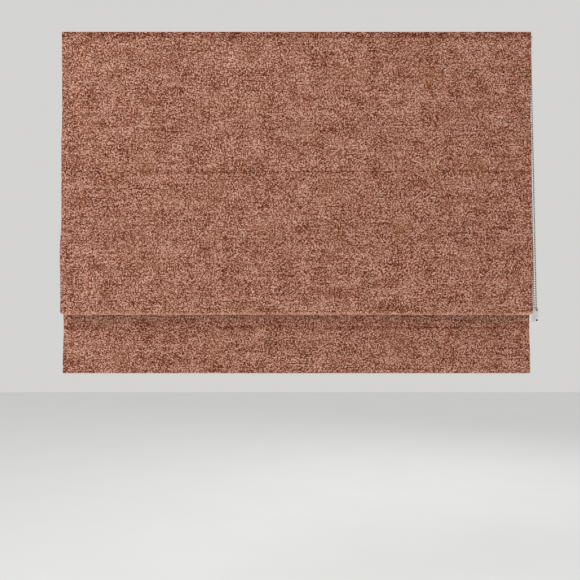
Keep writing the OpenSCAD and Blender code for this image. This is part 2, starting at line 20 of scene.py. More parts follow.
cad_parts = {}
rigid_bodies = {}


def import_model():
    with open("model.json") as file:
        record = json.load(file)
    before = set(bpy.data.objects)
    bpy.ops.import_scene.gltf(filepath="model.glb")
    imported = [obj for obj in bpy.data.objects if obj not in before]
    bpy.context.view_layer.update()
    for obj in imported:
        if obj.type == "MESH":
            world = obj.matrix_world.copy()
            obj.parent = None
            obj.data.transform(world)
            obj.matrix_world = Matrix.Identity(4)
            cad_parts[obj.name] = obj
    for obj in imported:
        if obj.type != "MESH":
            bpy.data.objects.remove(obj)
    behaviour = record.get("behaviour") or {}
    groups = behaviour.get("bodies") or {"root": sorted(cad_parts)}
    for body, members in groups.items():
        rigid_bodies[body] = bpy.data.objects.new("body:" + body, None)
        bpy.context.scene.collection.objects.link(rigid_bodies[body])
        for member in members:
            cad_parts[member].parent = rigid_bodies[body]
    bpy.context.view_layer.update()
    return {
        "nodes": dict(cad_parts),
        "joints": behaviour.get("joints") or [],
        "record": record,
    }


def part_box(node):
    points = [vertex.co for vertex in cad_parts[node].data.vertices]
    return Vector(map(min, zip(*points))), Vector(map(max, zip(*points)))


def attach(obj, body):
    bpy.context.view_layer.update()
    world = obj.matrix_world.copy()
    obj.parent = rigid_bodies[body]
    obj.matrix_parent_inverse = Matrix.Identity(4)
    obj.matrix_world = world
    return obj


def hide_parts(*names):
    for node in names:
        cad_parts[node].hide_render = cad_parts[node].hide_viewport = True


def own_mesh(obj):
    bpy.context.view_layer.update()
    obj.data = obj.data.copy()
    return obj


LOG = logging.getLogger("roman_blind")
SMOOTH_UNDER = math.radians(50)

Point2 = tuple[float, float]
Point3 = tuple[float, float, float]
Colour = tuple[float, float, float]


class Body(str, Enum):
    """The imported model's bodies that new pieces move with."""

    HEAD = "headrail"
    DRIVE = "drive"
    UPPER_ROD = "upper_rod"
    STACK = "pleat_stack"


class Slot(str, Enum):
    """The record's material slots."""

    FACE = "face_cloth"
    LINING = "lining_cloth"
    TAPE = "tape"
    CORD = "cord"
    RAIL = "rail_paint"
    WHITE = "white_plastic"
    MILKY = "clear_plastic"
    STEEL = "steel"
    BAR = "aluminium"
    CHAIN = "chain_metal"
    ROD = "fibreglass"


def eased(a: Point2, b: Point2, count: int) -> list[Point2]:
    """Points from a towards b that leave and arrive straight down, without b itself."""
    steps = [(i / count, (1 - math.cos(math.pi * i / count)) / 2) for i in range(count)]
    return [(a[0] + (b[0] - a[0]) * aside, a[1] + (b[1] - a[1]) * down) for down, aside in steps]


def arc(centre: Point2, radius: float, start: float, end: float, count: int) -> list[Point2]:
    """Points of an arc from one angle to another, in degrees."""
    angles = [math.radians(start + (end - start) * i / count) for i in range(count + 1)]
    return [(centre[0] + radius * math.cos(a), centre[1] + radius * math.sin(a)) for a in angles]


def directions(line: np.ndarray) -> np.ndarray:
    """Unit vectors along a line at each of its points."""
    along = np.gradient(line, axis=0)
    return along / np.linalg.norm(along, axis=1, keepdims=True)


def left_normals(line: np.ndarray) -> np.ndarray:
    """Unit normals on the left of a line's travel, in its own plane."""
    along = directions(line)
    return np.stack([-along[:, 1], along[:, 0]], axis=1)


def run_lengths(line: np.ndarray) -> np.ndarray:
    """The length along a line at each of its points."""
    return np.concatenate([[0.0], np.cumsum(np.linalg.norm(np.diff(line, axis=0), axis=1))])


@dataclass(frozen=True)
class HangLine:
    """The cloth's show side in Y and Z, from its top edge down, over the fold and the crest, to its hem.

    Attributes:
        top: Height of the top edge.
        head: Where the cloth leaves the rail.
        rod_1: Where it passes the upper rod.
        rod_2: Where it passes the middle rod.
        fold: Where it starts to turn up in the fold.
        fold_r: Radius of the fold.
        crest: Middle of the turn at the top of the gathered pleat, under the lower rod.
        crest_r: Radius of that turn.
        hem: Foot of the hem panel.
        hem_r: Radius of the hem's turn round the bar.
        hem_up: How far the hem goes up behind the bar.
        bar_top: Height of the bar's top.
        sewn_in: How far the hem is drawn in where it is sewn.
        seam_in: From the hem's end to the row that sews it.
        upper_sag: How far the cloth hangs back above rod 1.
        lower_sag: How far it hangs back between rods 1 and 2.
        pleat_sag: How far it hangs back between rod 2 and the fold.
        hem_sag: How far the hem panel hangs back.
        sag_at: Share of the way down at which a stretch hangs back furthest.
        front_crease_shade: Height of the line of painted crease shade on the front.
        panel_crease_shade: Height of the line of painted crease shade on the hem panel.
        step: Space between points on a long stretch.
        apart: Space left between two stretches' ends.
        fold_steps: Steps round the fold.
        crest_steps: Steps round the crest.
        hem_steps: Steps round the hem.
    """

    top: float = 0.018
    head: Point2 = (-0.03775, -0.016)
    rod_1: Point2 = (-0.04275, -0.272)
    rod_2: Point2 = (-0.05875, -0.552)
    fold: Point2 = (-0.05475, -0.6972)
    fold_r: float = 0.008
    crest: Point2 = (-0.03625, -0.58315)
    crest_r: float = 0.0025
    hem: Point2 = (-0.02925, -0.85615)
    hem_r: float = 0.0042
    hem_up: float = 0.045
    bar_top: float = -0.8269
    sewn_in: float = 0.0026
    seam_in: float = 0.004
    upper_sag: float = 0.0065
    lower_sag: float = 0.011
    pleat_sag: float = 0.003
    hem_sag: float = 0.010
    sag_at: float = 0.65
    front_crease_shade: float = -0.3409
    panel_crease_shade: float = -0.7396
    step: float = 0.009
    apart: float = 0.001
    fold_steps: int = 20
    crest_steps: int = 12
    hem_steps: int = 14

    def _sagged(self, a: Point2, b: Point2, back: float) -> list[Point2]:
        """The knots a and b, with the place between them where the cloth hangs back furthest."""
        return [a, (a[0] + self.sag_at * (b[0] - a[0]) + back, a[1] + self.sag_at * (b[1] - a[1])), b]

    def _down(self, knots: Sequence[Point2]) -> list[Point2]:
        """Joins knots by eased stretches.

        Args:
            knots: The places to pass, of which two neighbours may be the same.

        Returns:
            Points about a step apart, without the last knot.
        """
        points: list[Point2] = []
        for a, b in zip(knots, knots[1:]):
            if a != b:
                points += eased(a, b, max(2, round(abs(b[1] - a[1]) / self.step)))
        return points

    def front(self) -> list[Point2]:
        """Draws the front and the gathered pleat.

        Returns:
            The line from the top edge over the fold and up to the end of the crest.
        """
        fall = self._down([(self.head[0], self.top), *self._sagged(self.head, self.rod_1, self.upper_sag),
                           *self._sagged(self.rod_1, self.rod_2, self.lower_sag),
                           *self._sagged(self.rod_2, self.fold, self.pleat_sag)])
        turn = arc((self.fold[0] + self.fold_r, self.fold[1]), self.fold_r, 180, 360, self.fold_steps)
        rise = self._down([turn[-1], (turn[-1][0], self.crest[1])])[1:]
        return fall + turn + rise + arc(self.crest, self.crest_r, 180, 0, self.crest_steps)

    def panel(self) -> list[Point2]:
        """The line of the hem panel, from the crest to the hem's turn."""
        start, end = (self.crest[0] + self.crest_r, self.crest[1] - self.apart), (self.hem[0], self.bar_top)
        return self._down([*self._sagged(start, end, self.hem_sag), (self.hem[0], self.hem[1] + self.hem_r)])

    def hem_turn(self) -> list[Point2]:
        """Draws the hem's pocket.

        Returns:
            The line round the bar, up behind it, and in to where it is sewn.
        """
        back, low = self.hem[0] + 2 * self.hem_r, self.hem[1] + self.hem_r
        up = self._down([(back, low), (back, self.bar_top), (back - self.sewn_in, low + self.hem_up)])[1:]
        return arc((self.hem[0] + self.hem_r, low), self.hem_r, 180, 360, self.hem_steps) + up

    def cloth(self) -> np.ndarray:
        """The face cloth's whole line."""
        return np.array(self.front() + self.panel() + self.hem_turn())

    def lining(self, tuck: float) -> np.ndarray:
        """The lining's line, from under the rail to a tuck inside the hem's pocket."""
        high, low = self.head[1] - self.apart, self.hem[1] + self.hem_r + self.hem_up - tuck
        return np.array([p for p in self.front() if p[1] < high] + [p for p in self.panel() if p[1] > low])

    def fold_run(self) -> float:
        """The length down the cloth to the lowest point of its fold."""
        front = np.array(self.front())
        return float(run_lengths(front)[front[:, 1].argmin()])

    def crease_shade_runs(self) -> list[float]:
        """Finds the lines of painted crease shade.

        Returns:
            The lengths down the cloth to the crease on its front and to the one on its hem panel.
        """
        line, front = self.cloth(), np.array(self.front())
        shown = slice(0, front[:, 1].argmin())
        behind = slice(len(front), len(front) + len(self.panel()))
        return [float(np.interp(-height, -line[part, 1], run_lengths(line)[part]))
                for height, part in ((self.front_crease_shade, shown), (self.panel_crease_shade, behind))]

    def seam_run(self) -> float:
        """The length down the cloth to the row that sews its hem."""
        return float(run_lengths(self.cloth())[-1]) - self.seam_in


HANG = HangLine()


class Value:
    """A shader socket on which arithmetic can be written."""

    def __init__(self, sheet: NodeSheet, socket: bpy.types.NodeSocket) -> None:
        """Keeps the socket and the sheet that it belongs to."""
        self.sheet = sheet
        self.socket = socket

    def _math(self, operation: str, *others: Any, swap: bool = False) -> Value:
        """Adds one Math node.

        Args:
            operation: The Math node's operation.
            others: The other operands, numbers or values.
            swap: Whether this value comes second.

        Returns:
            The node's result.
        """
        operands = [*others, self] if swap else [self, *others]
        return self.sheet.node("ShaderNodeMath", {"operation": operation}, dict(enumerate(operands)))

    def __add__(self, other: Any) -> Value:
        """Sum."""
        return self._math("ADD", other)

    __radd__ = __add__

    def __sub__(self, other: Any) -> Value:
        """Difference."""
        return self._math("SUBTRACT", other)

    def __rsub__(self, other: Any) -> Value:
        """Difference, from a number."""
        return self._math("SUBTRACT", other, swap=True)

    def __mul__(self, other: Any) -> Value:
        """Product."""
        return self._math("MULTIPLY", other)

    __rmul__ = __mul__

    def __truediv__(self, other: Any) -> Value:
        """Quotient."""
        return self._math("DIVIDE", other)

    def __lt__(self, other: Any) -> Value:
        """1 where this is the smaller one."""
        return self._math("LESS_THAN", other)

    def floor(self) -> Value:
        """Whole part."""
        return self._math("FLOOR")

    def fraction(self) -> Value:
        """Part after the point."""
        return self._math("FRACT")

    def sine(self) -> Value:
        """Sine of an angle in radians."""
        return self._math("SINE")

    def size(self) -> Value:
        """Absolute value."""
        return self._math("ABSOLUTE")

    def most(self, other: Any) -> Value:
        """The larger one of two."""
        return self._math("MAXIMUM", other)

    def near(self, place: float, half: float) -> Value:
        """1 at a place, and falling evenly to 0 at half to each side of it."""
        return (1 - (self - place).size() / half).most(0.0)

    def within(self, place: float, half: float) -> Value:
        """1 up to half to each side of a place, and 0 beyond."""
        return (self - place).size() < half

    def dashed(self, pitch: float, share: float) -> Value:
        """1 on the first share of every pitch, as stitches lie along a row."""
        return (self / pitch).fraction() < share

    def wave(self, pitch: float) -> Value:
        """A wave from 0 to 1 at a pitch."""
        return (self * (2 * math.pi / pitch)).sine() * 0.5 + 0.5


class NodeSheet:
    """The nodes of one material or world."""

    def __init__(self, tree: bpy.types.NodeTree) -> None:
        """Keeps the tree that the nodes are added to."""
        self.tree = tree

    @staticmethod
    def rgba(colour: Any) -> Any:
        """A colour as a socket takes it, or a link as it is."""
        return colour if isinstance(colour, Value) else (*colour, 1.0)

    def feed(self, socket: bpy.types.NodeSocket, value: Any) -> None:
        """Fills a socket.

        Args:
            socket: The socket.
            value: A value to link to it, or a number or colour to set on it.
        """
        if isinstance(value, Value):
            self.tree.links.new(value.socket, socket)
        else:
            socket.default_value = value

    def node(self, kind: str, settings: dict[str, Any] | None = None, inputs: dict[Any, Any] | None = None,
             output: int | str = 0) -> Value:
        """Adds a node.

        Args:
            kind: The node's type.
            settings: Its properties; "stops" gives a ramp's places and colours.
            inputs: Its sockets' values or links, by name or number.
            output: The name or number of the output to return.

        Returns:
            That output.
        """
        made = self.tree.nodes.new(kind)
        for key, value in (settings or {}).items():
            if key == "stops":
                self._set_stops(made.color_ramp, value)
            else:
                setattr(made, key, value)
        for key, value in (inputs or {}).items():
            self.feed(made.inputs[key], value)
        return Value(self, made.outputs[output])

    def _set_stops(self, ramp: bpy.types.ColorRamp, stops: Sequence[tuple[float, Colour]]) -> None:
        """Gives a ramp its stops.

        Args:
            ramp: The ramp, which has two stops to start with.
            stops: The places and colours, from left to right.
        """
        while len(ramp.elements) < len(stops):
            ramp.elements.new(1.0)
        for element, (place, colour) in zip(ramp.elements, stops):
            element.position = place
            element.color = self.rgba(colour)

    def uv(self) -> Value:
        """The piece's own UV map, in metres."""
        return self.node("ShaderNodeTexCoord", output="UV")

    def place(self) -> Value:
        """The point's place in the object, in metres."""
        return self.node("ShaderNodeTexCoord", output="Object")

    def split(self, vector: Value) -> tuple[Value, Value, Value]:
        """The three parts of a vector."""
        first = self.node("ShaderNodeSeparateXYZ", inputs={0: vector})
        return tuple(Value(self, part) for part in first.socket.node.outputs)

    def stretched(self, vector: Value, scale: Point3) -> Value:
        """A vector scaled along each axis."""
        return self.node("ShaderNodeVectorMath", {"operation": "MULTIPLY"}, {0: vector, 1: scale})

    def noise(self, vector: Value, scale: float, detail: float = 2.0, roughness: float = 0.5) -> Value:
        """Soft noise about 0.5, with scale features to a metre."""
        return self.node("ShaderNodeTexNoise",
                         inputs={"Vector": vector, "Scale": scale, "Detail": detail, "Roughness": roughness})

    def sway(self, vector: Value, scale: float, detail: float = 2.0, roughness: float = 0.5) -> Value:
        """The same noise about 0."""
        return self.noise(vector, scale, detail, roughness) - 0.5

    def streaks(self, vector: Value, scale: Point3, detail: float = 3.0) -> Value:
        """Soft noise about 0.5, with its own number of features to a metre along each axis."""
        return self.noise(self.stretched(vector, scale), 1.0, detail)

    def chance(self, x: Value, y: Value) -> Value:
        """A random number from 0 to 1 for each pair of whole numbers."""
        pair = self.node("ShaderNodeCombineXYZ", inputs={0: x, 1: y})
        return self.node("ShaderNodeTexWhiteNoise", {"noise_dimensions": "2D"}, {"Vector": pair})

    def ramp(self, factor: Value, *stops: tuple[float, Colour]) -> Value:
        """A colour from a ramp."""
        return self.node("ShaderNodeValToRGB", {"stops": stops}, {0: factor})

    def mixed(self, factor: Any, first: Any, second: Any) -> Value:
        """A mix of two colours."""
        colours = {6: self.rgba(first), 7: self.rgba(second)}
        return self.node("ShaderNodeMix", {"data_type": "RGBA"}, {0: factor, **colours}, 2)


class Skin(NodeSheet):
    """A material's nodes around its one shader."""

    def __init__(self, name: str) -> None:
        """Starts a material.

        Args:
            name: The material's name.
        """
        self.material = bpy.data.materials.new(name)
        self.material.use_nodes = True
        super().__init__(self.material.node_tree)
        self.shader = self.tree.nodes["Principled BSDF"]

    def finish(self, colour: Any, roughness: Any, height: Value | None = None, depth: float = 0.0,
               **constants: Any) -> bpy.types.Material:
        """Links the pattern to the shader.

        Args:
            colour: The base colour.
            roughness: The roughness.
            height: The relief, from 0 to 1.
            depth: The relief's depth at 1.
            constants: Other shader sockets' numbers, with _ for a space in the name.

        Returns:
            The material.
        """
        self.feed(self.shader.inputs["Base Color"], self.rgba(colour))
        self.feed(self.shader.inputs["Roughness"], roughness)
        if height is not None:
            bump = self.node("ShaderNodeBump", inputs={"Strength": 1.0, "Distance": depth, "Height": height})
            self.feed(self.shader.inputs["Normal"], bump)
        for key, value in constants.items():
            self.shader.inputs[key.replace("_", " ")].default_value = value
        return self.material


@dataclass(frozen=True)
class ChenilleFinish:
    """Slubby chenille: tufts of uneven shade on a ribbed weave, with dark hollows between them.

    Attributes:
        hang: The cloth's line, for the places of its fold, creases and seam.
        hollow: The colour between the tufts.
        body: The middle colour.
        tip: The colour of the tufts' ends.
        tan: The colour that some patches lean to.
        nap: The tint of the light that the fuzz catches.
        tuft: Width of a tuft.
        yarn: Height of a tuft, which is two yarns of the weave.
        meander: How far a yarn strays up and down.
        meanders: Such strayings to a metre.
        slubs: Slubs to a metre, across and down.
        patches: Patches of uneven dye to a metre.
        tans: Tan patches to a metre.
        middle: The middle tone, on a scale from hollow to tip.
        shade_part: Weight of a tuft's own shade in the tone.
        fluff_part: Weight of the loose pile.
        rib_part: Weight of the weave's ribs.
        slub_part: Weight of the slubs.
        patch_part: Weight of the patches.
        tan_part: Weight of the tan.
        top_band: Depth of the darker band along the top edge.
        top_band_part: How much darker that band is.
        fold_highlight_half: Half the height of the painted highlight on the fold's underside.
        fold_highlight_up: How far that painted highlight's middle is above the fold's lowest point.
        fold_highlight_part: How much paler that painted highlight is.
        crease_shade_half: Half the height of the painted shade along a crease.
        crease_shade_part: How dark the painted shade along a crease is.
        seam_half: Half the height of the sewn row.
        stitch: Length of a stitch with its gap.
        depth: The relief's depth.
    """

    hang: HangLine = HANG
    hollow: Colour = (0.042, 0.007, 0.002)
    body: Colour = (0.309, 0.0735, 0.0275)
    tip: Colour = (0.78, 0.485, 0.38)
    tan: Colour = (0.33, 0.15, 0.06)
    nap: Colour = (1.0, 0.62, 0.50)
    tuft: float = 0.0033
    yarn: float = 0.0029
    meander: float = 0.004
    meanders: float = 70.0
    slubs: Point3 = (5.0, 170.0, 1.0)
    patches: float = 22.0
    tans: float = 13.0
    middle: float = 0.53
    shade_part: float = 0.62
    fluff_part: float = 3.4
    rib_part: float = 0.38
    slub_part: float = 0.47
    patch_part: float = 0.5
    tan_part: float = 0.9
    top_band: float = 0.0165
    top_band_part: float = 0.13
    fold_highlight_half: float = 0.010
    fold_highlight_up: float = 0.002
    fold_highlight_part: float = 0.33
    crease_shade_half: float = 0.007
    crease_shade_part: float = 0.14
    seam_half: float = 0.0006
    stitch: float = 0.009
    depth: float = 0.0007

    def make(self) -> bpy.types.Material:
        """Makes the material, on the cloth's UV map.

        Returns:
            The material.
        """
        sheet = Skin("terracotta_chenille")
        uv = sheet.uv()
        across, down, _ = sheet.split(uv)
        yarns = (down + sheet.sway(uv, self.meanders, 1.0) * self.meander) / self.yarn
        # A row of tufts is two ribs high, and its tufts start at a place of their own.
        rib = (yarns * (2 * math.pi)).sine().size() - 2 / math.pi
        row = yarns.floor()
        tuft = (across / self.tuft + sheet.chance(row, row * 0.37) * 3).floor()
        shade = sheet.chance(tuft, row) - 0.5
        fluff = sheet.sway(uv, 1 / self.tuft, 3.0, 0.6)
        slub = sheet.streaks(uv, self.slubs, 2.0) - 0.5
        patch = sheet.sway(uv, self.patches, 3.0, 0.55)
        # The tone is darker in a band along the top edge.
        # The tone is paler in a band on the fold's underside: a painted highlight.
        tone = (self.middle + shade * self.shade_part + fluff * self.fluff_part + rib * self.rib_part
                + slub * self.slub_part + patch * self.patch_part - (down < self.top_band) * self.top_band_part
                + down.near(self.hang.fold_run() - self.fold_highlight_up, self.fold_highlight_half) * self.fold_highlight_part)
        # Each crease gets a line of painted shade in the tone.
        for crease in self.hang.crease_shade_runs():
            tone = tone - down.near(crease, self.crease_shade_half) * self.crease_shade_part
        sewn = down.within(self.hang.seam_run(), self.seam_half) * across.dashed(self.stitch, 0.45)
        colour = sheet.ramp(tone, (0.07, self.hollow), (0.5, self.body), (1.0, self.tip))
        colour = sheet.mixed(sheet.sway(uv, self.tans).most(0.0) * self.tan_part, colour, self.tan)
        colour = sheet.mixed(sewn * 0.7, colour, self.hollow)
        relief = fluff * 1.1 + rib * 0.5 + shade * 0.3 - sewn
        return sheet.finish(colour, 0.92, relief, self.depth, Sheen_Weight=0.35, Sheen_Roughness=0.4,
                            Sheen_Tint=sheet.rgba(self.nap), Specular_IOR_Level=0.12)


@dataclass(frozen=True)
class SateenFinish:
    """Plain cotton lining: fine threads both ways and a sewn row along each side.

    Attributes:
        thread: The threads' colour.
        gap: The colour between them.
        mark: The colour of the stitches' shade.
        pitch: Space between threads.
        slubs: Uneven threads to a metre, across and down.
        patches: Patches to a metre.
        width: The lining's width.
        seam_in: From a side to its sewn row.
        seam_half: Half the width of a sewn row.
        stitch: Length of a stitch with its gap.
        depth: The relief's depth.
    """

    thread: Colour = (0.80, 0.76, 0.67)
    gap: Colour = (0.66, 0.61, 0.52)
    mark: Colour = (0.42, 0.36, 0.28)
    pitch: float = 0.0007
    slubs: Point3 = (30.0, 900.0, 1.0)
    patches: float = 9.0
    width: float = 1.16
    seam_in: float = 0.004
    seam_half: float = 0.0006
    stitch: float = 0.007
    depth: float = 0.00018

    def make(self) -> bpy.types.Material:
        """Makes the material, on the cloth's UV map.

        Returns:
            The material.
        """
        sheet = Skin("ivory_sateen")
        uv = sheet.uv()
        across, down, _ = sheet.split(uv)
        turn = 2 * math.pi / self.pitch
        weave = (across * turn).sine() * (down * turn).sine() * 0.5 + 0.5
        slub = sheet.streaks(uv, self.slubs, 2.0)
        patch = sheet.noise(uv, self.patches, 3.0)
        out = (across - self.width / 2).size()
        sewn = out.within(self.width / 2 - self.seam_in, self.seam_half) * down.dashed(self.stitch, 0.55)
        tone = weave * 0.3 + slub * 0.5 + patch * 0.35
        colour = sheet.mixed(sewn * 0.5, sheet.ramp(tone, (0.2, self.gap), (0.75, self.thread)), self.mark)
        relief = weave * 0.5 + slub - sewn * 1.5
        return sheet.finish(colour, 0.68, relief, self.depth, Sheen_Weight=0.2, Sheen_Roughness=0.4)


@dataclass(frozen=True)
class TapeFinish:
    """Narrow white tape in a twill weave, with a sewn row near one edge.

    Attributes:
        thread: The threads' colour.
        gap: The colour between them.
        mark: The colour of the stitches' shade.
        pitch: Space between the twill's lines.
        frays: Loose fibres to a metre.
        seam_at: From the edge to the sewn row.
        seam_half: Half the width of that row.
        stitch: Length of a stitch with its gap.
        depth: The relief's depth.
    """

    thread: Colour = (0.84, 0.82, 0.77)
    gap: Colour = (0.62, 0.60, 0.55)
    mark: Colour = (0.5, 0.46, 0.38)
    pitch: float = 0.0011
    frays: float = 700.0
    seam_at: float = 0.0045
    seam_half: float = 0.0005
    stitch: float = 0.0042
    depth: float = 0.0002

    def make(self) -> bpy.types.Material:
        """Makes the material, on the tape's UV map.

        Returns:
            The material.
        """
        sheet = Skin("woven_tape")
        uv = sheet.uv()
        across, along, _ = sheet.split(uv)
        twill, rib = (across + along).wave(self.pitch), along.wave(self.pitch / 2)
        fray = sheet.noise(uv, self.frays)
        sewn = across.within(self.seam_at, self.seam_half) * along.dashed(self.stitch, 0.6)
        tone = twill * 0.45 + rib * 0.2 + fray * 0.5
        colour = sheet.mixed(sewn * 0.6, sheet.ramp(tone, (0.2, self.gap), (0.7, self.thread)), self.mark)
        return sheet.finish(colour, 0.8, twill * 0.6 + fray * 0.5 + sewn, self.depth, Sheen_Weight=0.15)


@dataclass(frozen=True)
class BraidFinish:
    """Thin braided polyester cord.

    Attributes:
        light: The strands' colour.
        dark: The colour between them.
        strands: Strands each way round.
        lay: Length in which a strand passes its neighbour.
        frays: Loose fibres to a metre.
        depth: The relief's depth.
    """

    light: Colour = (0.84, 0.82, 0.76)
    dark: Colour = (0.56, 0.53, 0.46)
    strands: int = 4
    lay: float = 0.0042
    frays: float = 500.0
    depth: float = 0.00025

    def make(self) -> bpy.types.Material:
        """Makes the material: around the cord by U, and along it in metres by V.

        Returns:
            The material.
        """
        sheet = Skin("braided_cord")
        uv = sheet.uv()
        around, along, _ = sheet.split(uv)
        turn, run = around * (2 * math.pi * self.strands), along * (2 * math.pi / self.lay)
        braid = (turn + run).sine().most((turn - run).sine()) * 0.5 + 0.5
        fray = sheet.noise(uv, self.frays)
        colour = sheet.ramp(braid * 0.75 + fray * 0.4, (0.3, self.dark), (0.85, self.light))
        return sheet.finish(colour, 0.7, braid, self.depth, Sheen_Weight=0.1)


@dataclass(frozen=True)
class CoatFinish:
    """A paint or plastic skin: one colour with faint clouds, handling marks and a fine grain.

    Attributes:
        name: The material's name.
        colour: The skin's colour.
        grime: The colour that the faint clouds lean to.
        roughness: Its middle roughness.
        grain: Grains to a metre.
        depth: The grain's depth.
        coat: Weight of a clear coat.
        through: Share of light that passes through.
        clouds: Clouds to a metre.
        rubs: Handling marks to a metre, along each axis.
    """

    name: str
    colour: Colour
    grime: Colour
    roughness: float
    grain: float
    depth: float
    coat: float = 0.0
    through: float = 0.0
    clouds: float = 35.0
    rubs: Point3 = (40.0, 400.0, 400.0)

    def make(self) -> bpy.types.Material:
        """Makes the material, on Object coordinates.

        Returns:
            The material.
        """
        sheet = Skin(self.name)
        place = sheet.place()
        cloud = sheet.noise(place, self.clouds, 4.0, 0.6)
        grain = sheet.noise(place, self.grain)
        rub = sheet.streaks(place, self.rubs)
        colour = sheet.ramp(cloud, (0.3, self.grime), (0.55, self.colour))
        roughness = self.roughness + (rub - 0.5) * 0.22 + (cloud - 0.5) * 0.12
        return sheet.finish(colour, roughness, grain, self.depth, Coat_Weight=self.coat, Coat_Roughness=0.2,
                            Transmission_Weight=self.through)


@dataclass(frozen=True)
class MetalFinish:
    """Bare metal with drawing lines along X and dull patches.

    Attributes:
        name: The material's name.
        bright: The clean metal's colour.
        dull: The colour of the dull patches.
        roughness: Its middle roughness.
        lines: Fineness of the drawing lines, to a metre.
        breaks: Breaks in a drawing line, to a metre.
        patches: Dull patches to a metre.
        depth: The lines' depth.
    """

    name: str
    bright: Colour
    dull: Colour
    roughness: float
    lines: float
    breaks: float = 14.0
    patches: float = 60.0
    depth: float = 0.00005

    def make(self) -> bpy.types.Material:
        """Makes the material, on Object coordinates.

        Returns:
            The material.
        """
        sheet = Skin(self.name)
        place = sheet.place()
        drawn = sheet.streaks(place, (self.breaks, self.lines, self.lines))
        patch = sheet.noise(place, self.patches, 4.0, 0.6)
        colour = sheet.ramp(patch * 0.6 + drawn * 0.4, (0.35, self.dull), (0.6, self.bright))
        roughness = self.roughness + (drawn - 0.5) * 0.3 + (patch - 0.5) * 0.2
        return sheet.finish(colour, roughness, drawn, self.depth, Metallic=1.0)


@dataclass(frozen=True)
class GlassFibreFinish:
    """Drawn glass fibre: fine pale streaks along the rod under a resin gloss.

    Attributes:
        resin: The resin's colour.
        fibre: The fibres' colour.
        fibres: Fibres to a metre, along each axis.
        depth: The streaks' depth.
    """

    resin: Colour = (0.74, 0.72, 0.62)
    fibre: Colour = (0.84, 0.83, 0.77)
    fibres: Point3 = (25.0, 2600.0, 2600.0)
    depth: float = 0.00004

    def make(self) -> bpy.types.Material:
        """Makes the material, on Object coordinates.

        Returns:
            The material.
        """
        sheet = Skin("glass_fibre")
        streak = sheet.streaks(sheet.place(), self.fibres)
        colour = sheet.ramp(streak, (0.35, self.resin), (0.65, self.fibre))
        return sheet.finish(colour, 0.25 + streak * 0.2, streak, self.depth, Coat_Weight=0.3)


FINISHES: dict[Slot, Any] = {
    Slot.FACE: ChenilleFinish(),
    Slot.LINING: SateenFinish(),
    Slot.TAPE: TapeFinish(),
    Slot.CORD: BraidFinish(),
    Slot.RAIL: CoatFinish("white_powder_coat", (0.82, 0.82, 0.80), (0.805, 0.80, 0.78),
                          roughness=0.42, grain=1500.0, depth=0.00006, coat=0.15),
    Slot.WHITE: CoatFinish("white_moulding", (0.81, 0.81, 0.79), (0.78, 0.775, 0.75),
                           roughness=0.5, grain=3200.0, depth=0.00004),
    Slot.MILKY: CoatFinish("milky_moulding", (0.86, 0.86, 0.84), (0.83, 0.83, 0.81),
                           roughness=0.3, grain=3000.0, depth=0.00001, coat=0.3, through=0.1),
    Slot.STEEL: MetalFinish("bright_steel", (0.62, 0.62, 0.62), (0.46, 0.45, 0.44), 0.35, lines=1800.0),
    Slot.BAR: MetalFinish("mill_aluminium", (0.74, 0.74, 0.75), (0.62, 0.62, 0.63), 0.42, lines=1400.0),
    Slot.CHAIN: MetalFinish("nickel_plate", (0.36, 0.36, 0.35), (0.24, 0.24, 0.23), 0.3, lines=700.0),
    Slot.ROD: GlassFibreFinish(),
}


class Wardrobe:
    """The finished materials, one for each slot."""

    def __init__(self) -> None:
        """Makes every material once."""
        self.materials = {slot: finish.make() for slot, finish in FINISHES.items()}

    def dress(self, piece: bpy.types.Object, slot: Slot) -> None:
        """Gives a piece its slot's material."""
        piece.data.materials.clear()
        piece.data.materials.append(self.materials[slot])

    def dress_solids(self, nodes: dict[str, bpy.types.Object], record: dict[str, Any]) -> None:
        """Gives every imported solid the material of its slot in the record."""
        for row in record["subparts"]:
            self.dress(nodes[row["node"]], Slot(row["material_slot"]))


